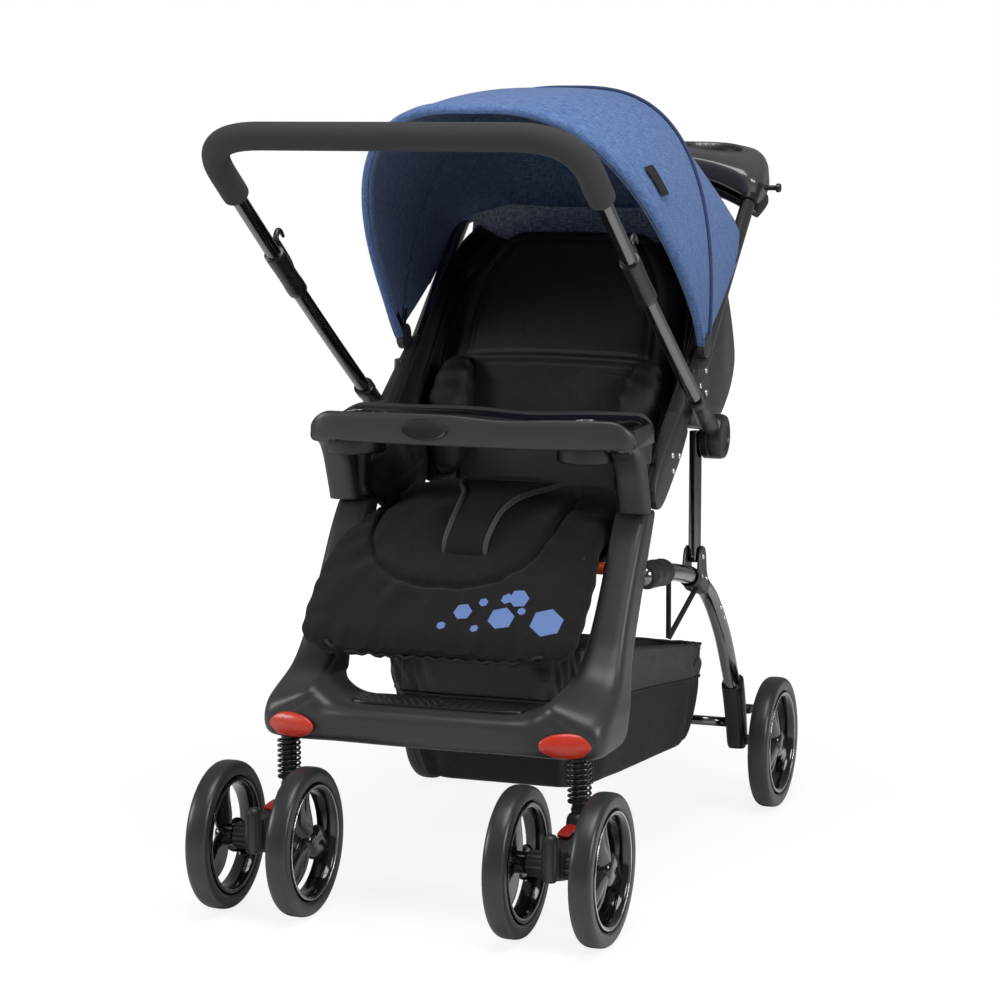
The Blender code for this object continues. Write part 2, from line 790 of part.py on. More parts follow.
def make_console():
    shares = (-1.0, -0.97, -0.85, -0.6, -0.3, 0.0, 0.3, 0.6, 0.85, 0.97, 1.0)
    top = loft("console_top", [console_ring(s, False) for s in shares], GLOSS, 50.0)
    for side, sign in SIDES:
        well = cylinder(
            side + "_well",
            0.0400,
            (sign * 0.108, 0.790, 0.8620),
            (sign * 0.108, 0.790, 0.9300),
            GLOSS,
            24,
        )
        well.data.transform(Matrix.Diagonal((1.25, 0.85, 1.0, 1.0)))
        cut(top, well)
        foot, lead = Vector((sign * SIDE_X, *CONSOLE_FOOT)), Vector((0, 0.757, 0.654))
        cut(top, cylinder(side + "_room", 0.0122, foot - lead * 0.035, foot + lead * 0.0146, GLOSS, 20))
    carry(finish_object(to_mesh(top), GLOSS), "push_frame")
    shell = loft("console_shell", [console_ring(s * 0.985, True) for s in shares], BLACK, 50.0)
    for side, sign in SIDES:
        y, z = polar(HUB, CATCH_REACH, CATCH_ANGLE)
        pin = cylinder(
            side + "_catch_pin",
            CATCH_R,
            (sign * 0.190, y, z),
            (sign * (ARM_X + 0.002), y, z),
            STEEL,
            12,
        )
        join(shell, pin)
        foot, lead = Vector((sign * SIDE_X, *CONSOLE_FOOT)), Vector((0, 0.757, 0.654))
        join(shell, cylinder(side + "_sleeve", 0.0118, foot - lead * 0.016, foot + lead * 0.014, BLACK, 20))
        bore = cylinder(
            side + "_tube_bore", MAIN_TUBE_R + RUNNING, foot - lead * 0.030, foot + lead * GAP, BLACK, 20
        )
        cut(shell, bore)
    carry(finish_object(to_mesh(shell), BLACK), "push_frame")


def arm_point(reach, sign, across=0.0):
    """A point of the handle arm: reach from the hub, across towards up and rear."""
    angle = ARM_ANGLE_LOW + (ARM_ANGLE_HIGH - ARM_ANGLE_LOW) * min(reach / 0.67, 1.0)
    y, z = polar(HUB, reach, angle)
    return Vector((sign * ARM_X, y + across * math.sin(angle), z - across * math.cos(angle)))


def make_handle():
    """Hub discs with sockets, one bent tube, the foam grip and two sprung latches."""
    add_pivot("handle", (0, *HUB), "push_frame")
    inner = BRACKET_OUTER_X + 0.0004
    for side, sign in SIDES:
        hub = cylinder(
            "handle_hub_" + side,
            HUB_DISC_R,
            (sign * inner, *HUB),
            (sign * HUB_OUTER_X, *HUB),
            BLACK,
            28,
        )
        bevel = hub.modifiers.new("edges", "BEVEL")
        bevel.width = 0.0025
        bevel.segments = 1
        bevel.limit_method = "ANGLE"
        socket = cylinder(
            side + "_socket",
            SOCKET_R,
            arm_point(0.010, sign),
            arm_point(SOCKET_REACH, sign),
            BLACK,
            20,
        )
        join(hub, socket)
        carry(finish_object(to_mesh(hub), BLACK), "handle")
    start = arm_point(SOCKET_REACH + GAP, 1)
    arm_end = arm_point(0.600, 1)
    bar = Vector((0, BAR_Y, BAR_Z))
    bend = 0.075
    corner = Vector((ARM_X + 0.0030, BAR_Y, BAR_Z))
    towards = (arm_end - corner).normalized()
    first = corner + towards * bend
    last = corner - Vector((bend, 0, 0))
    right = [start, arm_point(0.22, 1), arm_point(0.346, 1), arm_point(0.46, 1)]
    for i in range(7):
        t = i / 6
        right.append((1 - t) ** 2 * first + 2 * t * (1 - t) * corner + t * t * last)
    left = [Vector((-p.x, p.y, p.z)) for p in reversed(right)]
    path = right + [bar] + left
    grip_from = 4
    grip_path = path[grip_from : len(path) - grip_from]
    end = arm_point(0.546, 1)
    grip_path = [end, *grip_path, Vector((-end.x, end.y, end.z))]
    carry(tube("handle_tube", path, ARM_R, STEEL), "handle")
    grip = finish_object(to_mesh(tube("handle_grip", grip_path, GRIP_R, FOAM, 4)), FOAM)
    before = grip_path[0] - (grip_path[1] - grip_path[0]).normalized() * 0.01
    bore_path = [before, *grip_path, Vector((-before.x, before.y, before.z))]
    cut(grip, to_mesh(tube("grip_bore", bore_path, ARM_R + RUNNING + 0.0002, FOAM, 4)))
    carry(finish_object(to_mesh(grip), FOAM), "handle")


def make_latches():
    for side, sign in SIDES:
        name = "latch_" + side
        middle = arm_point((SLEEVE_START + SLEEVE_END) / 2, sign)
        add_pivot(name, middle, "handle")
        sleeve = cylinder(
            name,
            SLEEVE_R,
            arm_point(SLEEVE_START, sign),
            arm_point(SLEEVE_END + 0.012, sign),
            BLACK,
            20,
        )
        shank = CATCH_REACH + 0.0065
        tip = CATCH_DROP + 0.0090
        hook = [
            arm_point(shank + 0.008, sign, SLEEVE_R * 0.6).yz,
            arm_point(shank + 0.007, sign, tip).yz,
            arm_point(CATCH_REACH - 0.006, sign, tip + 0.001).yz,
            arm_point(CATCH_REACH - 0.008, sign, CATCH_DROP + CATCH_R + 0.0012).yz,
            arm_point(shank - 0.001, sign, CATCH_DROP + CATCH_R + 0.0006).yz,
            arm_point(shank, sign, SLEEVE_R + 0.003).yz,
            arm_point(SLEEVE_START + 0.020, sign, SLEEVE_R * 0.6).yz,
        ]
        plate = side_plate(side + "_hook", hook, sign * (ARM_X - 0.0045), sign * (ARM_X + 0.0045), BLACK)
        join(sleeve, plate)
        bore = cylinder(
            side + "_sleeve_bore",
            ARM_R + RUNNING,
            arm_point(SLEEVE_START - 0.02, sign),
            arm_point(SLEEVE_END + 0.03, sign),
            BLACK,
            16,
        )
        cut(sleeve, bore)
        carry(finish_object(to_mesh(sleeve), BLACK), name)


def bow_frames(angle, reach, half_x):
    """Points of a canopy arch and the outward directions at them."""
    frames = []
    middle = []
    for i in range(BOW_STEPS + 1):
        turn = math.pi * (0.5 - 0.5 * math.cos(math.pi * i / BOW_STEPS))
        c, s = math.cos(turn), math.sin(turn)
        x = half_x * math.copysign(abs(c) ** 0.70, c)
        height = reach * abs(s) ** 0.85
        y, z = polar(CANOPY_PIVOT, height, angle)
        middle.append(Vector((x, y, z)))
    across = Vector((0, -math.sin(angle), math.cos(angle)))
    for i, point in enumerate(middle):
        before, after = middle[max(i - 1, 0)], middle[min(i + 1, BOW_STEPS)]
        out = (after - before).cross(across).normalized()
        frames.append((point, out, across))
    if frames[BOW_STEPS // 2][1].dot(Vector((0, math.cos(angle), math.sin(angle)))) < 0:
        frames = [(point, -out, across) for point, out, across in frames]
    return frames


def make_bow(name, frames, body):
    """A flat strip bent into an arch, with its feet on the pivot."""
    rings = []
    last = len(frames) - 1
    for i, (point, out, across) in enumerate(frames):
        wide = across * BOW_HALF_WIDTH
        thick = out * BOW_THICK / 2
        if i in (0, last):
            middle = frames[last // 2][0]
            point = point - Vector((0, middle.y - point.y, middle.z - point.z)).normalized() * 0.006
        corners = ((wide, thick), (-wide, thick), (-wide, -thick), (wide, -thick))
        rings.append([point + a + b for a, b in corners])
    carry(loft(name, rings, BLACK, 40.0), body)


def panel(name, rows, body):
    """A cloth sheet through rows of points, thickened outwards."""
    columns = len(rows[0])
    vertices = [point for row in rows for point in row]
    faces = []
    for i in range(len(rows) - 1):
        for j in range(columns - 1):
            a = i * columns + j
            faces.append((a, a + 1, a + columns + 1, a + columns))
    thing = mesh_object(name, vertices, faces, BLUE_CLOTH, 60.0)
    inside = Vector((0.0, *CANOPY_PIVOT))
    if sum(f.normal.dot(f.center - inside) for f in thing.data.polygons) < 0:
        thing.data.flip_normals()
    wall = thing.modifiers.new("cloth", "SOLIDIFY")
    wall.thickness = FABRIC
    wall.offset = 1.0
    carry(thing, body)


def canopy_row(frames, shift, lift):
    """Points over an arch: shifted along its width and lifted off it."""
    kept = frames[CANOPY_SKIP : len(frames) - CANOPY_SKIP]
    return [point + out * lift + across * shift for point, out, across in kept]


def make_canopy():
    """Two bows and the two cloth panels, from the rear hem to the front hem."""
    add_pivot("canopy_mid", (0, *CANOPY_PIVOT), "push_frame")
    add_pivot("canopy_front", (0, *CANOPY_PIVOT), "canopy_mid")
    front_x = BOW_INNER_X + BOW_THICK / 2
    mid_x = BOW_INNER_X + BOW_THICK * 1.5 + GAP
    front = bow_frames(FRONT_BOW_ANGLE, FRONT_BOW_REACH, front_x)
    middle = bow_frames(MID_BOW_ANGLE, MID_BOW_REACH, mid_x)
    hem = bow_frames(REAR_HEM_ANGLE, REAR_HEM_REACH, mid_x)
    make_bow("canopy_front_bow", front, "canopy_front")
    make_bow("canopy_mid_bow", middle, "canopy_mid")
    lift = BOW_THICK / 2 + GAP * 2
    edge = BOW_HALF_WIDTH + 0.002
    lead, trail = canopy_row(front, edge, lift), canopy_row(front, -edge, lift)
    reach, seam = canopy_row(middle, edge, lift), canopy_row(middle, 0.0003, lift)
    rows = [lead, trail]
    for share in (0.25, 0.5, 0.75):
        crown = CANOPY_CROWN * math.sin(math.pi * share)
        row = []
        for i, (a, b) in enumerate(zip(trail, reach)):
            side = math.sin(math.pi * (i + 0.5) / len(trail))
            row.append(a.lerp(b, share) + Vector((0, 0, crown * side)))
        rows.append(row)
    rows += [reach, seam]
    panel("canopy_front_panel", rows, "canopy_mid")
    seam, reach = canopy_row(middle, -0.0003, lift), canopy_row(middle, -edge, lift)
    back = canopy_row(hem, 0.0, lift)
    rows = [seam, reach, [a.lerp(b, 0.5) for a, b in zip(reach, back)], back]
    panel("canopy_rear_panel", rows, "push_frame")


def make_child_tray():
    add_pivot("child_tray", (0, POST_Y, TRAY_BOTTOM_Z), "root")
    middle_z = (TRAY_TOP_Z + TRAY_BOTTOM_Z) / 2
    half = (TRAY_TOP_Z - TRAY_BOTTOM_Z) / 2
    rings = []
    for share, trim in (
        (-1.0, 0.80), (-0.985, 0.93), (-0.93, 1.0), (-0.6, 1.0), (-0.3, 1.0), (0.0, 1.0),
        (0.3, 1.0), (0.6, 1.0), (0.93, 1.0), (0.985, 0.93), (1.0, 0.80),
    ):
        front = 0.194 + 0.016 * abs(share) ** 6
        rear = 0.292 + 0.026 * share * share
        centre = (share * TRAY_HALF_X, (front + rear) / 2, middle_z)
        across = (0, (rear - front) / 2 * trim, 0)
        rings.append(squircle(centre, across, (0, 0, half * trim), 16, 0.42))
    tray = loft("child_tray", rings, CHARCOAL, 50.0)
    for side, x in (("left", 0.134), ("right", -0.163)):
        y = 0.236
        outer = cylinder(
            side + "_cup",
            CUP_R,
            (x, y, CUP_BOTTOM_Z),
            (x, y, TRAY_BOTTOM_Z + 0.01),
            BLACK,
            24,
        )
        join(tray, outer)
        inner = cylinder(
            side + "_cup_well",
            CUP_R - CUP_WALL,
            (x, y, CUP_BOTTOM_Z + CUP_WALL),
            (x, y, TRAY_TOP_Z + 0.01),
            BLACK,
            24,
        )
        cut(tray, inner)
    for side, sign in SIDES:
        path = [(0.232, 0.552), (0.250, 0.540), (0.2610, 0.516), (0.2645, 0.486), (0.2640, 0.460)]
        rings = []
        inner, outer = POST_X + POST_R + 0.0004, BRACKET_OUTER_X
        for i, (y, z) in enumerate(path):
            before, after = path[max(i - 1, 0)], path[min(i + 1, len(path) - 1)]
            along = Vector((0, after[0] - before[0], after[1] - before[1])).normalized()
            wide = Vector((0, -along.z, along.y)) * (0.0105 if i else 0.0120)
            centre = (sign * (inner + outer) / 2, y, z)
            rings.append(squircle(centre, ((outer - inner) / 2, 0, 0), wide, 12, 0.4))
        join(tray, loft(side + "_arm", rings, CHARCOAL))
    carry(finish_object(to_mesh(tray), CHARCOAL), "child_tray")


def make_rear_frame():
    """Bent rear legs with their clevises, feet, cross tube and brake pedals."""
    add_pivot("rear_frame", (0, *REAR_PIVOT), "root")
    for side, sign in SIDES:
        x = sign * SIDE_X
        route = [
            (x, 0.290, 0.3760),
            (x, 0.371, 0.3670),
            (x, 0.432, 0.3550),
            (x, 0.490, 0.3380),
            (x, 0.552, 0.3080),
            (x, 0.614, 0.2500),
            (x, 0.656, 0.1900),
            (x, FOOT_TOP[0], FOOT_TOP[1]),
        ]
        leg = tube("rear_leg_" + side, smooth_path(route, 2), REAR_TUBE_R, STEEL, 3)
        leg = finish_object(to_mesh(leg), STEEL)
        tongue_x = SIDE_X - TONGUE_INSET
        inner = sign * (tongue_x - TONGUE_THICK / 2)
        outer = sign * (tongue_x + TONGUE_THICK / 2)
        tongue = [
            (0.330, 0.3720 + TONGUE_HALF * 0.8),
            *arc(REAR_PIVOT, TONGUE_HALF, 90, 270, 8),
            (0.330, 0.3720 - TONGUE_HALF * 0.8),
        ]
        join(leg, side_plate(side + "_tongue", tongue, inner, outer, STEEL))
        y, z = STRUT_FOOT
        ears = [
            (y - 0.020, 0.3340),
            (y + 0.022, 0.3220),
            (y + 0.0125, z + 0.004),
            *arc(STRUT_FOOT, 0.0125, 20, 160, 5),
        ]
        for place in (1, -1):
            near = SIDE_X + place * (STRUT_R + 0.0006)
            far = SIDE_X + place * (STRUT_R + 0.0006 + EAR_THICK)
            low, high = sorted((near, far))
            ear = side_plate(side + "_ear" + str(place), ears, sign * low, sign * high, STEEL)
            join(leg, ear)
        carry(finish_object(to_mesh(leg), STEEL), "rear_frame")
        make_rear_foot(side, sign)
    reach = SIDE_X - FOOT_HALF_X - GAP
    cross = cylinder("rear_cross_tube", 0.0065, (-reach, *CROSS), (reach, *CROSS), STEEL, 16)
    carry(cross, "rear_frame")


def make_rear_foot(side, sign):
    x = sign * SIDE_X
    rings = []
    for y, z, depth, rise in (
        (FOOT_TOP[0] + 0.0003, FOOT_TOP[1] - 0.0004, 0.0107, 0.0077),
        (0.6840, 0.1430, 0.0128, 0.0060),
        (0.6925, 0.1130, 0.0135, 0.0035),
        (0.6980, 0.0890, 0.0145, 0.0020),
        (0.6990, 0.0780, 0.0120, 0.0010),
    ):
        rings.append(squircle((x, y, z), (FOOT_HALF_X, 0, 0), (0, depth, rise), 16, 0.5))
    foot = loft("rear_foot_" + side, rings, BLACK)
    stub = cylinder(
        side + "_rear_axle",
        AXLE_R,
        (x, REAR_AXLE_Y, WHEEL_R),
        (sign * (REAR_WHEEL_X + RIM_WIDTH / 2 + 0.001), REAR_AXLE_Y, WHEEL_R),
        STEEL,
        16,
    )
    join(foot, stub)
    y, z = PEDAL_PIVOT
    lug = [(y - 0.020, z + 0.006), (y - 0.020, z - 0.008), *arc(PEDAL_PIVOT, 0.0060, -90, 90, 6)]
    join(foot, side_plate(side + "_pedal_lug", lug, x - sign * 0.0045, x + sign * 0.0030, BLACK))
    join(foot, cylinder(side + "_pedal_pin", PIN_R, (x, y, z), (x + sign * 0.0122, y, z), STEEL, 16))
    carry(finish_object(to_mesh(foot), BLACK), "rear_frame")
    name = "brake_pedal_" + side
    y, z = PEDAL_PIVOT
    add_pivot(name, (x, y, z), "rear_frame")
    outline = [
        *arc(PEDAL_PIVOT, 0.0060, 90, 270, 6),
        (y + 0.026, z - 0.0070),
        (y + 0.046, z - 0.0110),
        (y + 0.047, z - 0.0060),
        (y + 0.026, z + 0.0020),
    ]
    pedal = side_plate(name, outline, x + sign * 0.0036, x + sign * 0.0124, BLACK)
    reach = 0.02
    bore = cylinder(side + "_pedal_bore", PIN_R + 0.0001, (x - reach, y, z), (x + reach, y, z), BLACK, 16)
    cut(pedal, bore)
    carry(finish_object(to_mesh(pedal), BLACK), name)


def make_struts():
    add_pivot("struts", (0, *STRUT_FOOT), "rear_frame")
    for side, sign in SIDES:
        x = sign * SIDE_X
        bottom = (x, STRUT_FOOT[0], STRUT_FOOT[1] - 0.0075)
        top = (x, HUB[0], HUB[1] + 0.006)
        carry(cylinder("strut_" + side, STRUT_R, bottom, top, STEEL, 16), "struts")


def make_basket():
    """An open tub, narrow at the front, hung between the legs."""
    rings = []
    # front and rear half width, front and rear (y, z)
    for front_x, rear_x, front, rear in (
        (0.104, 0.160, (0.3060, 0.1010), (0.5950, 0.1080)),
        (0.113, 0.171, (0.2930, 0.1080), (0.6080, 0.1160)),
        (0.118, 0.176, (0.2700, 0.1600), (0.6050, 0.1600)),
        (0.126, 0.181, (0.2380, 0.2350), (0.5900, 0.2060)),
        (0.130, 0.1825, (0.2250, 0.2900), (0.5780, 0.2370)),
    ):
        ring = []
        for i in range(24):
            turn = 2 * math.pi * (i + 0.5) / 24
            c, s = math.cos(turn), math.sin(turn)
            along = (1 - math.copysign(abs(s) ** 0.5, s)) / 2
            y = front[0] + (rear[0] - front[0]) * along
            z = front[1] + (rear[1] - front[1]) * along - 0.010 * math.sin(math.pi * along)
            half = front_x + (rear_x - front_x) * along
            ring.append((half * math.copysign(abs(c) ** 0.5, c), y, z))
        rings.append(ring)
    count = 24
    vertices = [p for ring in rings for p in ring]
    faces = []
    for i in range(len(rings) - 1):
        for j in range(count):
            k = (j + 1) % count
            faces.append((i * count + j, i * count + k, (i + 1) * count + k, (i + 1) * count + j))
    faces.append(tuple(reversed(range(count))))
    basket = mesh_object("basket", vertices, faces, BASKET_CLOTH, 60.0)
    wall = basket.modifiers.new("cloth", "SOLIDIFY")
    wall.thickness = BASKET_WALL
    wall.offset = -1.0
    basket = finish_object(to_mesh(basket), BASKET_CLOTH)
    for side, sign in SIDES:
        y, z = STRAP_LOOP
        x = sign * SIDE_X
        lean = Vector((0, 0.879, -0.476)) * 0.008
        centre = Vector((x, y, z))
        loop = cylinder(side + "_loop", REAR_TUBE_R + 0.0030, centre - lean, centre + lean, BASKET_CLOTH, 16)
        strap = loft(
            side + "_strap",
            [
                squircle((sign * 0.150, y - 0.004, 0.2160), (0.0014, 0, 0), (0, 0.009, 0), 8, 0.4),
                squircle((x - sign * 0.002, y, z - 0.0100), (0.0014, 0, 0), (0, 0.009, 0), 8, 0.4),
            ],
            BASKET_CLOTH,
        )
        bore = cylinder(
            side + "_loop_bore", REAR_TUBE_R + 0.0010, centre - lean * 3, centre + lean * 3, BASKET_CLOTH, 16
        )
        tab = loft(
            side + "_tab",
            [
                squircle((sign * 0.106, 0.2450, 0.2790), (0, 0.0090, 0), (0, 0, 0.0014), 8, 0.4),
                squircle((sign * FRONT_TAB_X, 0.1940, 0.2990), (0, 0.0090, 0), (0, 0, 0.0014), 8, 0.4),
            ],
            BASKET_CLOTH,
        )
        join(basket, strap)
        join(basket, loop)
        cut(basket, bore)
        join(basket, tab)
    carry(finish_object(to_mesh(basket), BASKET_CLOTH), "root")


def make_caster(side, sign):
    """Stem, spring, swivelling block, lock lever and two wheels."""
    x = sign * FRONT_TRACK / 2
    stem, caster = "stem_" + side, "caster_" + side
    add_pivot(stem, (x, CASTER_TRAIL, COLLAR_Z), "root")
    rod_top = FOOT_TOP_Z - 0.004 - SUSPENSION_TRAVEL - 0.002
    rod = cylinder(stem, ROD_R, (x, CASTER_TRAIL, BLOCK_TOP + GAP), (x, CASTER_TRAIL, rod_top), STEEL, 12)
    collar = cylinder(
        side + "_collar",
        SPRING_R + WIRE_R,
        (x, CASTER_TRAIL, COLLAR_Z),
        (x, CASTER_TRAIL, COLLAR_Z + COLLAR_THICK),
        BLACK,
        20,
    )
    neck = cylinder(
        side + "_neck",
        NECK_R,
        (x, CASTER_TRAIL, BLOCK_TOP + GAP),
        (x, CASTER_TRAIL, COLLAR_Z + 0.001),
        BLACK,
        16,
    )
    join(rod, collar)
    join(rod, neck)
    carry(finish_object(to_mesh(rod), BLACK), stem)
    make_spring(side, x)
    add_pivot(caster, (x, CASTER_TRAIL, 0.1), stem)
    block = cylinder(
        caster, BARREL_R, (x, CASTER_TRAIL, BLOCK_BOTTOM), (x, CASTER_TRAIL, BLOCK_TOP), CHARCOAL, 20
    )
    dome = block.modifiers.new("dome", "BEVEL")
    dome.width = 0.0055
    dome.segments = 2
    dome.limit_method = "ANGLE"
    arm = rounded_box(
        side + "_fork",
        (0.022, CASTER_TRAIL + 0.030, 0.046),
        (x, CASTER_TRAIL / 2 - 0.012, 0.0935),
        0.004,
        CHARCOAL,
    )
    pill = cylinder(side + "_pill", 0.0095, (x, -0.0330, 0.0790), (x, -0.0330, 0.1290), CHARCOAL, 16)
    round_off = pill.modifiers.new("ends", "BEVEL")
    round_off.width = 0.0060
    round_off.segments = 2
    round_off.limit_method = "ANGLE"
    boss_reach = TWIN_PITCH / 2 - TYRE_WIDTH / 2 - 0.0010
    boss = cylinder(
        side + "_boss", 0.0145, (x - boss_reach, 0, WHEEL_R), (x + boss_reach, 0, WHEEL_R), BLACK, 20
    )
    axle_reach = TWIN_PITCH / 2 + RIM_WIDTH / 2 + 0.001
    axle = cylinder(
        side + "_front_axle", AXLE_R, (x - axle_reach, 0, WHEEL_R), (x + axle_reach, 0, WHEEL_R), STEEL, 16
    )
    for piece in (arm, pill, boss, axle):
        join(block, piece)
    carry(finish_object(to_mesh(block), CHARCOAL), caster)
    lock = "caster_lock_" + side
    y, z = LOCK_PIVOT
    add_pivot(lock, (x, y, z), caster)
    outline = [
        *arc(LOCK_PIVOT, 0.0032, -90, 90, 4),
        (y - 0.018, z + 0.0052),
        (y - 0.036, z + 0.0030),
        (y - 0.036, z - 0.0015),
        (y - 0.018, z - 0.0030),
    ]
    carry(side_plate(lock, outline, x - sign * 0.0075, x + sign * 0.0075, RED_PLASTIC), lock)
    for where, shift in (("outer", 1), ("inner", -1)):
        wheel_x = x + sign * shift * TWIN_PITCH / 2
        make_wheel(f"front_{side}_{where}", wheel_x, 0.0, caster, sign * shift)


def make_spring(side, x):
    """An open helix between the collar and the front frame."""
    low = COLLAR_Z + COLLAR_THICK + WIRE_R + GAP
    high = FOOT_BOTTOM_Z - WIRE_R - 0.0050
    points = []
    count = SPRING_TURNS * 9
    for i in range(count + 1):
        turn = 2 * math.pi * SPRING_TURNS * i / count
        z = low + (high - low) * i / count
        points.append((x + SPRING_R * math.cos(turn), CASTER_TRAIL + SPRING_R * math.sin(turn), z))
    carry(tube("spring_" + side, points, WIRE_R, STEEL, 1), "root")
    pitch = (high - low) / SPRING_TURNS
    print(side, "spring: least gap between its turns", round(pitch - 2 * WIRE_R, 5))


def centre_over_origin():
    """Shift the root so that the stroller's box is centred on the origin."""
    bpy.context.view_layer.update()
    graph = bpy.context.evaluated_depsgraph_get()
    low, high = np.full(3, np.inf), np.full(3, -np.inf)
    for thing in model.objects:
        if thing.type == "EMPTY":
            continue
        shape = thing.evaluated_get(graph)
        mesh = shape.to_mesh()
        points = np.array([shape.matrix_world @ v.co for v in mesh.vertices])
        shape.to_mesh_clear()
        low, high = np.minimum(low, points.min(0)), np.maximum(high, points.max(0))
    shift = Vector((-(low[0] + high[0]) / 2, -(low[1] + high[1]) / 2, -low[2]))
    pivots["root"][0].location = shift
    print("box", (high - low).round(4).tolist(), "shift", [round(v, 5) for v in shift])


def main():
    clear_scene()
    add_pivot("root", (0, 0, 0))
    make_front_frame()
    make_foot_parts()
    make_posts()
    make_seat()
    make_leg_rest()
    make_push_frame()
    make_backrest()
    make_handle()
    make_latches()
    make_canopy()
    make_child_tray()
    make_rear_frame()
    make_struts()
    make_basket()
    for side, sign in SIDES:
        make_caster(side, sign)
        make_wheel("rear_" + side, sign * REAR_WHEEL_X, REAR_AXLE_Y, "rear_frame", sign)
    centre_over_origin()


main()
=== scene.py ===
# %% [markdown]
# # A lightweight stroller, dressed
#
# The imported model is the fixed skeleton: its bodies say what moves with what. Nearly
# every visible surface is drawn here as a function on a grid, computed with numpy, so
# that each curve has a formula that can be read and changed. Lengths are in metres. While
# a piece is laid out, y is counted from the front wheel axle, as on a side view.

# %% Load the frame
import math

import bmesh
import bpy
import numpy as np
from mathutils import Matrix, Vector


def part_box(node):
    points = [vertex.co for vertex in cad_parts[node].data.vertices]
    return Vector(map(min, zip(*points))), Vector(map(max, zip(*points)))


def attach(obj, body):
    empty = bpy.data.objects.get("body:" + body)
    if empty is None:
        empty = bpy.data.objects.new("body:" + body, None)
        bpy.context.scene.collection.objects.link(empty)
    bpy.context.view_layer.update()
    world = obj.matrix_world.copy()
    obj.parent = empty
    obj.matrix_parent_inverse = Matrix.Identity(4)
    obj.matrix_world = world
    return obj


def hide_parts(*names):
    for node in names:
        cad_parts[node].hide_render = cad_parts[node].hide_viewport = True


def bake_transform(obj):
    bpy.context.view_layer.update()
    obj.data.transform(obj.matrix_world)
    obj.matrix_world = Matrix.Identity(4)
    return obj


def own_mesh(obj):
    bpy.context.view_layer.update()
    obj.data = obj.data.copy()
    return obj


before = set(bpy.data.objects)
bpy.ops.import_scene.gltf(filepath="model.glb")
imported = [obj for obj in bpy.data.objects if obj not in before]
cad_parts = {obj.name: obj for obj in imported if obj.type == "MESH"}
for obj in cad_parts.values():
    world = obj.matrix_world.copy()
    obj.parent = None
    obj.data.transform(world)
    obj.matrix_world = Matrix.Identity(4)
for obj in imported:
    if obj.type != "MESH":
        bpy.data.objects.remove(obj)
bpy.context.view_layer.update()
wheel_low, wheel_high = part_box("front_left_outer_tyre")
WHEEL_R = (wheel_high.z - wheel_low.z) / 2
ORIGIN = np.array([0.0, (wheel_low.y + wheel_high.y) / 2, 0.0])
SIDES = (("left", 1), ("right", -1))
print("wheel radius", round(WHEEL_R, 4), "axle at y", round(ORIGIN[1], 4))

# %% [markdown]
# A surface is an (n, m, 3) array of points. One helper turns it into a mesh, closes it
# round either way, caps its ends, and keeps the walking distance along both directions
# as a UV map in metres, so that a weave has its true scale wherever the cloth bends.

# %% Surface helpers
def bell(distance, width):
    """1 at no distance, falling off smoothly on both sides over a width."""
    return np.exp(-((distance / width) ** 2))


def full_turn(count):
    """Even angles once round."""
    return np.linspace(0, 2 * np.pi, count, endpoint=False)


def crossed(first, second):
    """Both coordinates of every pair, rows for the first and columns for the second."""
    return np.meshgrid(first, second, indexing="ij")


def placed(x, y, z):
    """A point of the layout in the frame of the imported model."""
    return tuple(np.array([x, y, z]) + ORIGIN)


def flat_of(points):
    """Mean length of a cloth both ways, as it was cut."""
    return float(walk(points, 0)[-1]), float(walk(points, 1)[-1])


def walk(points, axis):
    """Distance along one direction of a grid, summed from its steps and averaged over the other."""
    step = np.linalg.norm(np.diff(points, axis=axis), axis=-1).mean(axis=1 - axis)
    return np.concatenate([[0.0], np.cumsum(step)])


def show(name, data):
    """An object with this data, linked to the scene."""
    made = bpy.data.objects.new(name, data)
    bpy.context.scene.collection.objects.link(made)
    return made


def quads_of(index):
    """Faces between neighbouring rows and columns of a grid of vertex numbers."""
    return np.stack([index[:-1, :-1], index[:-1, 1:], index[1:, 1:], index[1:, :-1]], -1).reshape(-1, 4)


def surface(name, points, closed_u=False, closed_v=False, caps=False, turn=None):
    """Mesh of a grid of points; faces join neighbours, caps close the first and last row."""
    n, m = points.shape[:2]
    index = np.arange(n * m).reshape(n, m)
    grid = index
    if closed_u:
        grid = np.vstack([grid, grid[:1]])
    if closed_v:
        grid = np.hstack([grid, grid[:, :1]])
    faces = quads_of(grid).tolist()
    if caps:
        faces += [index[0][::-1].tolist(), index[-1].tolist()]
    mesh = bpy.data.meshes.new(name)
    mesh.from_pydata((points.reshape(-1, 3) + ORIGIN).tolist(), [], faces)
    flat = np.stack(crossed(walk(points, 0), walk(points, 1)), -1).reshape(-1, 2)
    corner = np.empty(len(mesh.loops), dtype=np.int64)
    mesh.loops.foreach_get("vertex_index", corner)
    layer = mesh.uv_layers.new(name="UVMap")
    layer.data.foreach_set("uv", flat[corner].ravel().astype(np.float32))
    mesh.shade_smooth()
    made = show(name, mesh)
    if turn is None:
        turn = closed_v and (caps or closed_u)
    if turn:
        face_out(made)
    return made


def face_out(made, doubles=0.0):
    """Point every face of a closed shell outwards, after merging points that coincide."""
    work = bmesh.new()
    work.from_mesh(made.data)
    if doubles:
        bmesh.ops.remove_doubles(work, verts=work.verts, dist=doubles)
    bmesh.ops.recalc_face_normals(work, faces=work.faces)
    work.to_mesh(made.data)
    work.free()
    return made


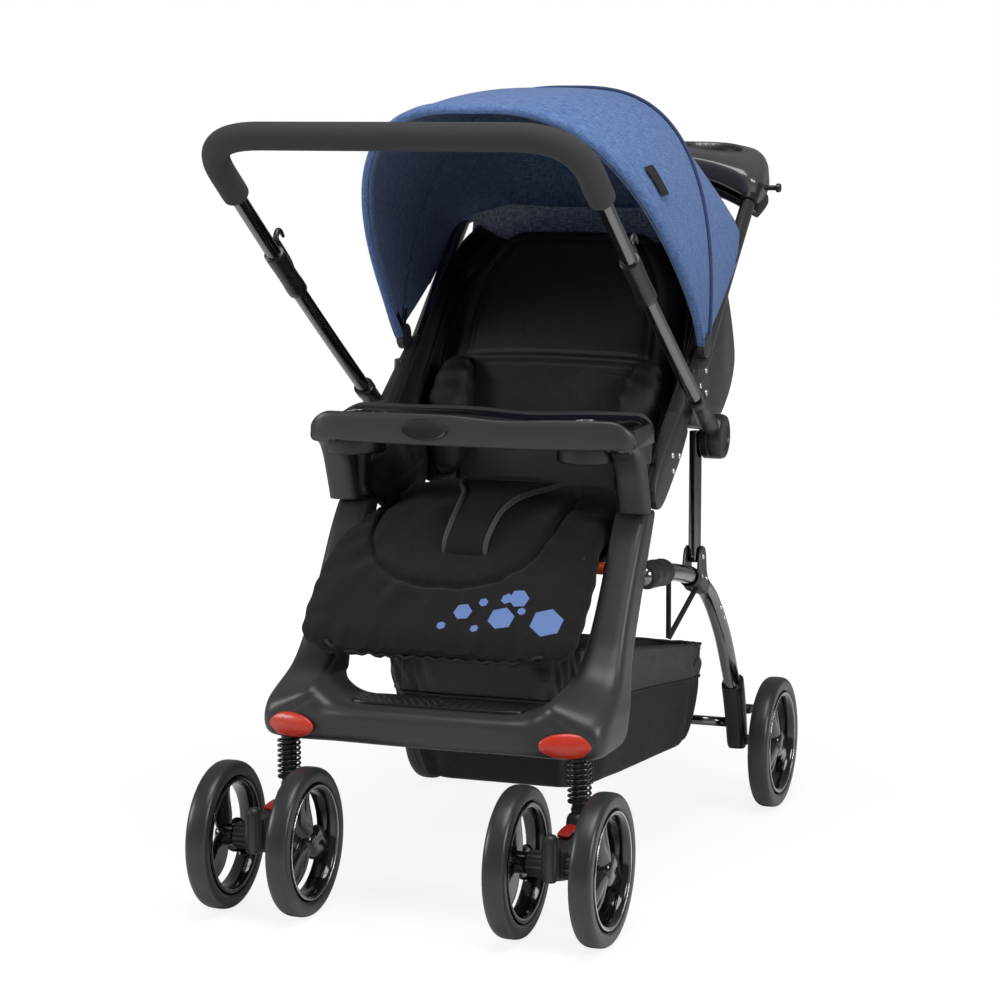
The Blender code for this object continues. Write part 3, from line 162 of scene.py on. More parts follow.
def route(points, count):
    """Smooth route through a few points: cubic pieces whose slopes are central differences."""
    p = np.asarray(points, float)
    slope = np.gradient(p, axis=0)
    t = np.linspace(0, len(p) - 1, count)
    i = np.minimum(t.astype(int), len(p) - 2)
    f = (t - i).reshape(-1, *([1] * (p.ndim - 1)))
    return (
        (2 * f**3 - 3 * f**2 + 1) * p[i]
        + (f**3 - 2 * f**2 + f) * slope[i]
        + (3 * f**2 - 2 * f**3) * p[i + 1]
        + (f**3 - f**2) * slope[i + 1]
    )


def unit(v):
    return v / np.maximum(np.linalg.norm(v, axis=-1, keepdims=True), 1e-12)


def rounded(angle, power):
    """Cosine and sine raised to a power with their signs: 1 is an ellipse, towards 0 a rectangle."""
    c, s = np.cos(angle), np.sin(angle)
    return np.sign(c) * np.abs(c) ** power, np.sign(s) * np.abs(s) ** power


def tube_points(path, radius, reference, sides=24, flat=1.0):
    """Rings across a route. Their side is tangent x reference and their top is side x tangent."""
    tangent = unit(np.gradient(path, axis=0))
    side = unit(np.cross(tangent, np.asarray(reference, float)))
    top = np.cross(side, tangent)
    turn = full_turn(sides)
    radius = np.broadcast_to(np.asarray(radius, float), (len(path),))[:, None, None]
    ring = np.cos(turn)[None, :, None] * side[:, None] + flat * np.sin(turn)[None, :, None] * top[:, None]
    return path[:, None] + radius * ring


def lathe_points(profile, centre, axis, steps=72):
    """A profile of (radius, height) turned about an axis through a centre."""
    profile = np.asarray(profile, float)
    axis = unit(np.asarray(axis, float))
    side = unit(np.cross(axis, [0.31, 0.17, 0.93]))
    front = np.cross(axis, side)
    turn = full_turn(steps)
    around = np.cos(turn)[:, None] * side + np.sin(turn)[:, None] * front
    return (
        np.asarray(centre, float)
        + profile[None, :, 0, None] * around[:, None]
        + profile[None, :, 1, None] * axis
    )


def solid_of_turn(name, profile, centre, axis, steps=72):
    """A turned solid: its profile leaves the axis, comes back to it and closes there."""
    made = surface(name, lathe_points(profile, centre, axis, steps), closed_u=True, turn=False)
    return face_out(made, 1e-6)


def ring_of_turn(name, profile, centre, axis, steps=96):
    """A turned ring: the profile is a closed loop away from the axis."""
    return surface(name, lathe_points(profile, centre, axis, steps), closed_u=True, closed_v=True)


def loft_points(stations, count, ring=48, power=0.5, even=False):
    """Rounded sections along stations of (centre, across, up), smoothed to a given count."""
    s = route(np.asarray(stations, float), count)
    turn = full_turn(ring) + 0.01
    if even:
        fine = np.linspace(0, 2 * np.pi, 4001)
        c, v = rounded(fine, power)
        step = np.concatenate([[0.0], np.cumsum(np.hypot(np.diff(c), np.diff(v)))])
        turn = np.interp(np.linspace(0, step[-1], ring, endpoint=False), step, fine)
    c, v = rounded(turn, power)
    return s[:, None, 0] + c[None, :, None] * s[:, None, 1] + v[None, :, None] * s[:, None, 2]


def capped(name, points):
    """A closed shell from a stack of loops."""
    return surface(name, points, closed_v=True, caps=True)


def tube(name, *args):
    return capped(name, tube_points(*args))


def loft(name, *args, **more):
    return capped(name, loft_points(*args, **more))


def blocks(x, rows):
    """Loft stations at one x, from rows of (y, z, half width, up in y, up in z)."""
    return [((x, y, z), (wide, 0, 0), (0, up_y, up_z)) for y, z, wide, up_y, up_z in rows]


def thicken(made, thickness):
    made.modifiers.new("cloth", "SOLIDIFY").thickness = thickness


def sharpen(made, degrees):
    """Keep hard the edges that turn by more than an angle."""
    made.data.set_sharp_from_angle(angle=math.radians(degrees))
    return made


def bevel(made, width):
    """Round the sharp edges of a piece a little, as any moulded or turned edge is."""
    soft = made.modifiers.new("edge", "BEVEL")
    soft.width = width
    soft.segments = 2
    soft.limit_method = "ANGLE"
    soft.harden_normals = False
    return made


def slab_points(outline, inner_x, outer_x, edge=0.0012):
    """A side plate: an outline of (y, z) carried from inner_x to outer_x with softened rims."""
    loop = np.asarray(outline, float)
    middle = loop.mean(axis=0)
    span = abs(outer_x - inner_x)
    way = np.sign(outer_x - inner_x)
    rows = []
    away = unit(loop - middle)
    for shrink, along in ((edge, 0.0), (0.0, edge), (0.0, span - edge), (edge, span)):
        x = np.full(len(loop), inner_x + way * along)
        rows.append(np.column_stack([x, loop - away * shrink]))
    return np.stack(rows)


def joined(name, parts):
    """Several closed shells as one object, for details that belong to one moulding."""
    work = bmesh.new()
    for part in parts:
        work.from_mesh(part.data)
    mesh = bpy.data.meshes.new(name)
    work.to_mesh(mesh)
    work.free()
    for part in parts:
        bpy.data.objects.remove(part)
    mesh.shade_smooth()
    return show(name, mesh)


def dress(made, body, finish, stands_for=()):
    """Give a piece its material, its body, and the CAD nodes that it stands for."""
    made.data.materials.clear()
    for one in finish if isinstance(finish, (list, tuple)) else (finish,):
        made.data.materials.append(one)
    if stands_for:
        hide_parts(*stands_for)
    if body:
        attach(made, body)
    return made


# %% [markdown]
# ## Finishes
#
# Two effects come back in many finishes, so each is a node group with named values: a
# fine moulded grain, and a woven cloth with its threads and flecks. The groups give only
# colours, masks and heights. The shader stays in the material.

# %% Node helpers
def node_group(name, inputs, outputs):
    """An empty shader group; inputs map a name to its usual value, or to None for a place."""
    group = bpy.data.node_groups.new(name, "ShaderNodeTree")
    for title, value in inputs.items():
        kind = "Vector" if value is None else "Color" if isinstance(value, tuple) else "Float"
        socket = group.interface.new_socket(title, in_out="INPUT", socket_type="NodeSocket" + kind)
        if value is not None:
            socket.default_value = value
    for title in outputs:
        kind = "Color" if title == "Colour" else "Float"
        group.interface.new_socket(title, in_out="OUTPUT", socket_type="NodeSocket" + kind)
    return group, group.nodes.new("NodeGroupInput"), group.nodes.new("NodeGroupOutput")


def feed(tree, node, values):
    """Link sockets to a node's inputs, and set the other inputs to plain values."""
    for key, value in values.items():
        if isinstance(value, bpy.types.NodeSocket):
            tree.links.new(value, node.inputs[key])
        else:
            node.inputs[key].default_value = value
    return node


def add(tree, kind, links=None, **values):
    """A node with its values set and its inputs linked; links maps an input to a socket."""
    node = tree.nodes.new(kind)
    for key, value in values.items():
        setattr(node, key, value)
    return feed(tree, node, links or {})


def maths(tree, operation, *values):
    """A Math node's result; values are sockets or numbers."""
    return add(tree, "ShaderNodeMath", dict(enumerate(values)), operation=operation).outputs[0]


def mixed(tree, share, a, b):
    """A mix of two colours."""
    return add(tree, "ShaderNodeMix", {0: share, 6: a, 7: b}, data_type="RGBA").outputs[2]


def make_grain_group():
    """Moulded grain: fine noise for height, and broad noise that lightens the colour a little."""
    group, given, out = node_group(
        "moulded_grain",
        {"Place": None, "Colour": (0.05, 0.05, 0.05, 1), "Size": 1400.0, "Tone": 0.12, "Polish": 0.4},
        ("Colour", "Roughness", "Height"),
    )
    place, tone = given.outputs["Place"], given.outputs["Tone"]
    fine = add(
        group, "ShaderNodeTexNoise", {"Vector": place, "Scale": given.outputs["Size"], "Detail": 2.0},
    )
    broad = add(group, "ShaderNodeTexNoise", {"Vector": place, "Scale": 9.0, "Detail": 4.0})
    base = maths(group, "MULTIPLY_ADD", tone, -0.5, 1.0)
    shift = maths(group, "MULTIPLY_ADD", broad.outputs[0], tone, base)
    colour = {0: given.outputs["Colour"], "Scale": shift}
    bright = add(group, "ShaderNodeVectorMath", colour, operation="SCALE")
    least = maths(group, "SUBTRACT", given.outputs["Polish"], 0.05)
    rough = maths(group, "MULTIPLY_ADD", broad.outputs[0], 0.1, least)
    feed(group, out, {"Colour": bright.outputs[0], "Roughness": rough, "Height": fine.outputs[0]})
    return group


def make_weave_group():
    """Plain weave on a UV map in metres: two crossed sine ridges, with threads that differ in tone."""
    group, given, out = node_group(
        "plain_weave",
        {"Place": None, "Colour": (0.02, 0.02, 0.02, 1), "Fleck": (0.05, 0.05, 0.05, 1),
         "Threads": 1500.0, "Melange": 0.2},
        ("Colour", "Height", "Fleck mask"),
    )
    place = given.outputs["Place"]
    parts = add(group, "ShaderNodeSeparateXYZ", {0: place})
    waves, flecks = [], []
    for axis, scale in (("X", (900.0, 90.0, 300.0)), ("Y", (90.0, 900.0, 300.0))):
        phase = maths(group, "MULTIPLY", parts.outputs[axis], given.outputs["Threads"])
        waves.append(maths(group, "SINE", phase))
        way = add(group, "ShaderNodeMapping", {"Vector": place, "Scale": scale}).outputs[0]
        fleck = add(group, "ShaderNodeTexNoise", {"Vector": way, "Scale": 1.0, "Detail": 2.0})
        flecks.append(fleck.outputs[0])
    height = maths(group, "MAXIMUM", *waves)
    both = maths(group, "MULTIPLY", maths(group, "ADD", *flecks), 0.5)
    ramp = add(group, "ShaderNodeMapRange", {0: both, 1: 0.42, 2: 0.58})
    mask = maths(group, "MULTIPLY", ramp.outputs[0], given.outputs["Melange"])
    colour = mixed(group, mask, given.outputs["Colour"], given.outputs["Fleck"])
    feed(group, out, {"Colour": colour, "Height": height, "Fleck mask": mask})
    return group


GRAIN = make_grain_group()
WEAVE = make_weave_group()


def shader(name):
    """A new material with its tree, its Principled shader and the usual places."""
    made = bpy.data.materials.new(name)
    made.use_nodes = True
    tree = made.node_tree
    place = tree.nodes.new("ShaderNodeTexCoord")
    return made, tree, tree.nodes["Principled BSDF"], place


def link_bump(tree, principled, height, distance):
    bump = add(tree, "ShaderNodeBump", {"Height": height, "Distance": distance, "Strength": 1.0})
    tree.links.new(bump.outputs[0], principled.inputs["Normal"])


def plastic(name, colour, polish, size=1400.0, depth=0.00006, tone=0.15, coat=0.0, metallic=0.0):
    """Moulded or painted surface: grain on Object coordinates, with a coat where it is glossy."""
    made, tree, principled, place = shader(name)
    values = {
        "Place": place.outputs["Object"], "Colour": (*colour, 1), "Size": size, "Tone": tone,
        "Polish": polish,
    }
    grain = add(tree, "ShaderNodeGroup", values, node_tree=GRAIN)
    values = {
        "Base Color": grain.outputs["Colour"], "Roughness": grain.outputs["Roughness"],
        "Metallic": metallic,
    }
    feed(tree, principled, {**values, "Coat Weight": coat, "Coat Roughness": 0.06})
    link_bump(tree, principled, grain.outputs["Height"], depth)
    return made


def cloth(
    name, colour, fleck, melange, threads=4200.0, depth=0.00012, roughness=0.85, sheen=0.3, wrinkle=0.0,
    gloss=0.16,
):
    """Woven cloth on its UV map, with broad soft wrinkles added to the weave's height."""
    made, tree, principled, place = shader(name)
    values = {
        "Place": place.outputs["UV"], "Colour": (*colour, 1), "Fleck": (*fleck, 1), "Threads": threads,
        "Melange": melange,
    }
    weave = add(tree, "ShaderNodeGroup", values, node_tree=WEAVE)
    values = {"Base Color": weave.outputs["Colour"], "Roughness": roughness, "Sheen Weight": sheen}
    feed(tree, principled, {**values, "Sheen Roughness": 0.45, "Specular IOR Level": gloss})
    creases = add(
        tree, "ShaderNodeTexNoise",
        {"Vector": place.outputs["Object"], "Scale": 16.0, "Detail": 3.0, "Distortion": 0.6},
    )
    total = maths(tree, "MULTIPLY_ADD", creases.outputs[0], wrinkle / depth, weave.outputs["Height"])
    link_bump(tree, principled, total, depth)
    return made


# %% The finishes themselves
charcoal = plastic("charcoal_satin", (0.031, 0.0315, 0.0325), 0.38, size=2600.0, depth=0.00005)
black_satin = plastic("black_satin", (0.0095, 0.0095, 0.0102), 0.3)
gloss_black = plastic("gloss_black", (0.005, 0.005, 0.0055), 0.12, depth=0.00001, tone=0.05, coat=0.6)
dark_tube = plastic(
    "dark_gunmetal_tube", (0.19, 0.19, 0.198), 0.13, size=300.0, depth=0.00001, tone=0.08, coat=0.4,
    metallic=1.0,
)
tyre_black = plastic("tyre_black", (0.026, 0.027, 0.03), 0.33, size=1800.0, depth=0.00004, tone=0.25)
foam_grey = plastic("foam_grey", (0.034, 0.034, 0.037), 0.92, size=1500.0, depth=0.00035, tone=0.12)
tread_black = plastic("tread_rubber", (0.006, 0.006, 0.0065), 0.36)
rivet_chrome = plastic("rivet_chrome", (0.75, 0.75, 0.76), 0.12, metallic=1.0, tone=0.05)
lens_red = plastic("lens_red", (0.6, 0.03, 0.01), 0.38, size=620.0, depth=0.0004, tone=0.22, coat=0.35)
lever_red = plastic("lever_red", (0.5, 0.02, 0.015), 0.4)
console_grey = plastic("console_grey", (0.045, 0.046, 0.048), 0.22, size=500.0, depth=0.00001, coat=0.5)
cloth_back = cloth(
    "back_black", (0.0042, 0.0042, 0.0045), (0.009, 0.009, 0.0095), 0.5, threads=5200.0, roughness=0.46,
    sheen=0.02, wrinkle=0.003, gloss=0.5,
)
piping_grey = cloth("piping_grey", (0.045, 0.048, 0.051), (0.06, 0.06, 0.065), 0.4, threads=3000.0)
canopy_blue = cloth(
    "canopy_blue", (0.06, 0.118, 0.29), (0.15, 0.235, 0.44), 0.8, threads=3600.0, sheen=0.08,
    wrinkle=0.001,
)
canopy_lining = cloth(
    "canopy_lining", (0.046, 0.082, 0.185), (0.19, 0.245, 0.37), 0.6, threads=3600.0, sheen=0.1,
)
# Grey melange whose colour is painted lighter than the cloth's own: painted light that stands in for the
# light on the strip under the hood.
melange_painted_light = cloth("melange_painted_light", (0.19, 0.22, 0.28), (0.72, 0.76, 0.82), 0.85, threads=2400.0)
nylon_grey = cloth(
    "basket_nylon", (0.028, 0.028, 0.03), (0.042, 0.042, 0.045), 0.5, threads=6000.0, roughness=0.38,
    sheen=0.05, wrinkle=0.006, gloss=0.5,
)
canopy_piping = cloth("canopy_piping", (0.024, 0.044, 0.115), (0.05, 0.08, 0.17), 0.5, threads=3600.0)
liner_plain = cloth(
    "liner_plain", (0.0085, 0.0085, 0.009), (0.016, 0.016, 0.017), 0.5, threads=5200.0, sheen=0.06,
    wrinkle=0.0008,
)


def printed_liner():
    """Black woven cloth with a few pale blue hexagons; their places are on the liner's own map."""
    made = cloth(
        "seat_liner", (0.0085, 0.0085, 0.0092), (0.017, 0.017, 0.018), 0.5, threads=5200.0, sheen=0.08,
        wrinkle=0.0022,
    )
    tree, principled = made.node_tree, made.node_tree.nodes["Principled BSDF"]
    old = principled.inputs["Base Color"].links[0].from_socket
    own = add(tree, "ShaderNodeAttribute", attribute_name="bib_place", attribute_type="GEOMETRY")
    parts = add(tree, "ShaderNodeSeparateXYZ", {0: own.outputs["Vector"]})
    shape = None
    for x, along, size, turn in HEXAGONS:
        dx = maths(tree, "SUBTRACT", parts.outputs["X"], x)
        dy = maths(tree, "SUBTRACT", parts.outputs["Y"], along)
        far = None
        for n in range(3):
            angle = math.radians(turn + 60 * n)
            rise = maths(tree, "MULTIPLY", dy, math.sin(angle))
            reach = maths(tree, "MULTIPLY_ADD", dx, math.cos(angle), rise)
            reach = maths(tree, "ABSOLUTE", reach)
            far = reach if far is None else maths(tree, "MAXIMUM", far, reach)
        one = maths(tree, "LESS_THAN", far, size)
        shape = one if shape is None else maths(tree, "MAXIMUM", shape, one)
    upper = maths(tree, "GREATER_THAN", parts.outputs["Z"], 0.0)
    mask = maths(tree, "MULTIPLY", shape, upper)
    speck = add(
        tree, "ShaderNodeTexNoise", {"Vector": own.outputs["Vector"], "Scale": 900.0, "Detail": 2.0},
    )
    blue = mixed(tree, speck.outputs[0], (0.11, 0.19, 0.45, 1), (0.19, 0.285, 0.56, 1))
    tree.links.new(mixed(tree, mask, old, blue), principled.inputs["Base Color"])
    return made


# place across X, place along the liner, half width across flats, turn
HEXAGONS = (
    (0.122, 0.302, 0.0175, 8), (0.067, 0.303, 0.014, 12), (0.018, 0.2975, 0.01, 20),
    (-0.003, 0.32, 0.005, 0), (0.038, 0.32, 0.0047, 10), (0.089, 0.29, 0.0045, 5),
    (0.04, 0.282, 0.005, 15), (0.082, 0.2735, 0.0105, 18), (0.067, 0.2745, 0.0065, 8),
)
liner_black = printed_liner()


def mesh_cloth():
    """Open mesh: a fine hexagon-like lattice of threads that lets light through the holes."""
    made = cloth(
        "basket_mesh", (0.02, 0.02, 0.0215), (0.034, 0.034, 0.036), 0.4, threads=3000.0, roughness=0.55,
        sheen=0.05, wrinkle=0.002,
    )
    tree, principled = made.node_tree, made.node_tree.nodes["Principled BSDF"]
    place = tree.nodes["Texture Coordinate"]
    values = {"Vector": place.outputs["UV"], "Scale": 420.0, "Randomness": 0.15}
    lattice = add(tree, "ShaderNodeTexVoronoi", values, feature="DISTANCE_TO_EDGE")
    threads = maths(tree, "LESS_THAN", lattice.outputs["Distance"], 0.33)
    tree.links.new(threads, principled.inputs["Alpha"])
    return made


basket_mesh = mesh_cloth()


# %% [markdown]
# ## Camera and light
#
# The lens was solved from the wheels, tubes and trays of the real object, so the camera
# stands where the photographer stood: about three metres away, knee high, and twenty
# degrees to the child's left. The light is a broad soft studio: a dim white room, one
# large lamp above, and one from each side. To the camera itself the room is bright white.

# %% Camera
CAMERA_PLACE = placed(1.20083, -2.97604, 0.93711)
CAMERA_DOWN, CAMERA_ROUND = 7.847, 20.127
FOCAL_SHARE = 2866.957 / 1000
camera = bpy.data.cameras.new("camera")
camera.sensor_width = 36.0
camera.lens = camera.sensor_width * FOCAL_SHARE
camera_object = show("camera", camera)
camera_object.location = CAMERA_PLACE
camera_object.rotation_euler = (math.radians(90 - CAMERA_DOWN), 0.0, math.radians(CAMERA_ROUND))
bpy.context.scene.camera = camera_object
bpy.context.scene.view_settings.view_transform = "Standard"

# %% Light
world = bpy.data.worlds.new("studio")
bpy.context.scene.world = world
world.use_nodes = True
sky = world.node_tree
room = feed(sky, sky.nodes["Background"], {"Color": (1, 1, 1, 1), "Strength": 0.2})
white = add(sky, "ShaderNodeBackground", {"Color": (1, 1, 1, 1), "Strength": 1.0})
seen = add(sky, "ShaderNodeLightPath").outputs["Is Camera Ray"]
both = add(sky, "ShaderNodeMixShader", {0: seen, 1: room.outputs[0], 2: white.outputs[0]})
feed(sky, sky.nodes["World Output"], {"Surface": both.outputs[0]})


def soft_lamp(name, place, aim, size, power):
    """A large square lamp that looks at a point."""
    lamp = bpy.data.lights.new(name, "AREA")
    lamp.size = size
    lamp.energy = power
    thing = show(name, lamp)
    thing.location = place
    thing.rotation_euler = (Vector(aim) - Vector(place)).to_track_quat("-Z", "Y").to_euler()


soft_lamp("lamp_above", (0.3, -0.6, 2.6), (0, 0, 0.5), 1.4, 36.0)
soft_lamp("lamp_left", (-2.2, -1.4, 1.3), (0, 0, 0.5), 0.9, 26.0)
soft_lamp("lamp_right", (2.4, -0.9, 1.5), (0, 0, 0.5), 0.9, 32.0)

# %% [markdown]
# The floor is matte and pale. To the camera it shows the white of the room, darkened
# only where the object's shadow falls, as on a photographer's sweep.

# %% Floor
FLOOR_HALF = 9.0
corners = np.array([[[-1, -1, 0], [-1, 1, 0]], [[1, -1, 0], [1, 1, 0]]], float) * FLOOR_HALF
floor = surface("floor", corners - ORIGIN, turn=False)
finish, tree, matte, place = shader("floor_white")
feed(tree, matte, {"Base Color": (0.93, 0.93, 0.93, 1), "Roughness": 0.9})
glow = add(tree, "ShaderNodeEmission", {"Color": (1, 1, 1, 1), "Strength": 1.08})
far = add(tree, "ShaderNodeVectorMath", {0: place.outputs["Object"]}, operation="LENGTH").outputs["Value"]
white = add(tree, "ShaderNodeMapRange", {0: far, 1: 0.6, 2: 1.6, 3: 0.8, 4: 1.0}).outputs[0]
seen = add(tree, "ShaderNodeLightPath").outputs["Is Camera Ray"]
share = maths(tree, "MULTIPLY", seen, white)
both = add(tree, "ShaderNodeMixShader", {0: share, 1: matte.outputs[0], 2: glow.outputs[0]})
feed(tree, tree.nodes["Material Output"], {"Surface": both.outputs[0]})
floor.data.materials.append(finish)

# %% [markdown]
# ## Wheels
#
# The tyre is a solid rubber ring with a crowned tread and a moulding line round its
# middle. The rim behind it is a glossy deep barrel with three broad spokes, each split by
# a groove. A spoke is a strip whose half angle narrows from hub to rim.

# %% Tyre and rim
TYRE_HALF = 0.0135
RIM_R = 0.0677
SPOKE_COUNT = 3


def tyre_profile():
    """Closed loop: a rounded box from the bead out to the tread, with a fine line on its crown."""
    angle = full_turn(56) + np.pi / 56
    c, s = rounded(angle, 0.62)
    middle, depth = WHEEL_R - 0.0098, 0.0098
    radius = middle + depth * c
    line = 0.00025 * bell(TYRE_HALF * s, 0.0004) * (c > 0)
    return np.column_stack([np.minimum(radius + line, WHEEL_R), TYRE_HALF * s])


def spoke_points(centre, way, middle):
    """One spoke: rows from hub to rim; each is a loop with a grooved front and a flat back."""
    u = np.linspace(0, 1, 18)[:, None]
    v = np.concatenate([np.linspace(-1, 1, 21), np.linspace(1, -1, 15)])
    front = np.arange(36) < 21
    reach = 0.01 + u * (0.0608 - 0.01)
    half = 0.98 * (1 - u) ** 1.5 + 0.265 + 0.06 * u**4
    swing = middle + 0.16 * np.sin(np.pi * u)
    angle = swing + half * v
    edge = 1 - np.abs(v) ** 6
    split = 0.0021 * bell(v, 0.13) * np.clip(u * 3 - 0.5, 0, 1)
    rise = 0.0085 - 0.004 * u + 0.0012 * np.cos(np.pi * v) - split
    height = np.where(front, rise * edge + 0.0015 * (1 - edge), -0.0035 * edge)
    x = centre[0] + way * height
    y = centre[1] + reach * np.cos(angle)
    z = centre[2] + reach * np.sin(angle)
    return np.stack([x + 0 * y, y, z], -1)


def make_wheel(body, x, y, way):
    """Tyre, barrel with a bright line, spokes and cap of one wheel; way is its outer side."""
    centre = (x, y, WHEEL_R)
    axis = (way, 0, 0)
    tyre = ring_of_turn(body + "_tyre_form", tyre_profile(), centre, axis, 128)
    dress(tyre, body, tyre_black, [body + "_tyre"])
    barrel = [
        (RIM_R, -0.0118), (RIM_R + 0.0006, -0.0128), (RIM_R - 0.0016, -0.0134), (RIM_R - 0.005, -0.0122),
        (RIM_R - 0.0072, -0.006), (RIM_R - 0.0078, 0.0), (RIM_R - 0.0072, 0.006), (RIM_R - 0.0052, 0.0112),
        (RIM_R - 0.003, 0.0126), (RIM_R - 0.001, 0.013), (RIM_R, 0.0118),
    ]
    parts = [ring_of_turn("barrel", route(barrel, 44)[:-1], centre, axis, 128)]
    for n in range(SPOKE_COUNT):
        middle = math.radians(96 + 360 * n / SPOKE_COUNT)
        parts.append(capped("spoke", spoke_points(centre, way, middle)))
    cap = [
        (0, 0.0128), (0.006, 0.0124), (0.01, 0.0108), (0.0122, 0.0078), (0.0128, 0.002), (0.0126, -0.011),
        (0, -0.011),
    ]
    parts.append(solid_of_turn("cap", cap, centre, axis, 40))
    rim = sharpen(joined(body + "_rim_form", parts), 40)
    dress(rim, body, gloss_black, [body + "_rim"])
    loop = full_turn(10)
    bright = np.column_stack([RIM_R - 0.0012 + 0.0007 * np.cos(loop), 0.0131 + 0.0005 * np.sin(loop)])
    line = ring_of_turn(body + "_rim_line", bright, centre, axis, 128)
    dress(line, body, rivet_chrome)


TRACK, TWIN = 0.182, 0.0505
REAR_X, REAR_Y = 0.245, 0.701
for side, sign in SIDES:
    make_wheel(f"front_{side}_outer", sign * (TRACK + TWIN), 0.0, sign)
    make_wheel(f"front_{side}_inner", sign * (TRACK - TWIN), 0.0, -sign)
    make_wheel(f"rear_{side}", sign * REAR_X, REAR_Y, sign)
print("wheels", 6)

# %% [markdown]
# ## Casters
#
# Between the twin wheels stands a moulded block: a domed barrel round the swivel, a
# rounded pill at the front, and ribbed bosses that reach to both hubs. Above it the dark
# stem runs in an open coil spring.

# %% Caster, stem and spring
TRAIL = 0.069
BARREL_TOP = 0.1335


def ribbed_points(x0, x1, radius, teeth=14):
    """A boss along X with ribs: its radius beats with the turn."""
    turn = full_turn(teeth * 8)
    reach = radius * (1 + 0.07 * np.clip(np.sin(turn * teeth) * 3, -1, 1))
    ends = np.array([[x0, 0.94], [x0, 1.0], [x1, 1.0], [x1, 0.94]])
    ring = np.stack([0 * turn, reach * np.cos(turn), WHEEL_R + reach * np.sin(turn)], -1)
    rows = ring[None] * np.array([0, 1, 1]) * np.ones((4, 1, 1))
    rows[:, :, 1] *= ends[:, 1, None]
    rows[:, :, 2] = WHEEL_R + (rows[:, :, 2] - WHEEL_R) * ends[:, 1, None]
    rows[:, :, 0] = ends[:, 0, None]
    return rows


def make_caster(side, sign):
    """Block, stem, spring and lock lever of one caster."""
    x = sign * TRACK
    dome = [
        (0, 0.0635), (0.012, 0.064), (0.0152, 0.067), (0.0158, 0.09), (0.0155, 0.12), (0.0148, 0.1265),
        (0.0125, 0.1305), (0.0098, 0.1322), (0.009, BARREL_TOP), (0, BARREL_TOP),
    ]
    parts = [solid_of_turn("dome", dome, (x, TRAIL, 0), (0, 0, 1), 56)]
    body = [
        (0.056, 0.093, 0.0105, 0, 0.027), (0.03, 0.093, 0.0108, 0, 0.024), (0.0, 0.093, 0.0108, 0, 0.022),
        (-0.024, 0.096, 0.01, 0, 0.02),
    ]
    parts.append(loft("fork", blocks(x, body), 30, 40, 0.35))
    pill = [
        (0, 0.0762), (0.006, 0.0768), (0.009, 0.08), (0.0098, 0.085), (0.0098, 0.122), (0.0088, 0.1275),
        (0.0055, 0.1308), (0, 0.1316),
    ]
    parts.append(solid_of_turn("pill", pill, (x, -0.033, 0), (0, 0, 1), 40))
    reach = TWIN - TYRE_HALF - 0.0005
    parts.append(capped("boss", ribbed_points(x - reach, x + reach, 0.0145)))
    block = sharpen(joined(f"caster_{side}_form", parts), 50)
    dress(block, f"caster_{side}", charcoal, [f"caster_{side}"])
    collar = [
        (0, BARREL_TOP + 0.0004), (0.0096, BARREL_TOP + 0.0006), (0.0102, 0.1375), (0.0088, 0.1405),
        (0.0085, 0.144), (0.0136, 0.145), (0.0142, 0.1462), (0.0136, 0.1476), (0.0098, 0.1484),
        (0.0092, 0.156), (0.0092, 0.205), (0, 0.205),
    ]
    stem = sharpen(solid_of_turn(f"stem_{side}_form", collar, (x, TRAIL, 0), (0, 0, 1), 56), 50)
    dress(stem, f"stem_{side}", black_satin, [f"stem_{side}"])
    turns, low, high, wire, radius = 7.0, 0.1492, 0.1925, 0.00155, 0.0128
    t = np.linspace(0, 1, int(turns * 26))
    angle = 2 * np.pi * turns * t
    coil = np.stack([
        x + radius * np.cos(angle), TRAIL + radius * np.sin(angle), low + (high - low) * t,
    ], -1)
    spring = tube(f"spring_{side}_form", coil, wire, (0, 0, 1), 12)
    dress(spring, "front_frame", gloss_black, [f"spring_{side}"])
    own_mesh(spring)
    lever = [
        (0.047, 0.1215, 0.007, 0, 0.0026), (0.034, 0.1222, 0.0076, 0, 0.0027),
        (0.018, 0.1212, 0.0076, 0, 0.0024), (0.0085, 0.1196, 0.0066, 0, 0.0016),
    ]
    lock = loft(f"lock_{side}_form", blocks(x, lever), 20, 28, 0.5)
    dress(lock, f"caster_lock_{side}", lever_red, [f"caster_lock_{side}"])


for side, sign in SIDES:
    make_caster(side, sign)

# %% [markdown]
# ## Front frame
#
# One moulding makes both front legs, the bumper and the footrest. It is a rounded section
# carried along a U: down one leg, round the corner, across, and up the other. At the
# corner the section leans, which gives the wide flared foot of the leg.

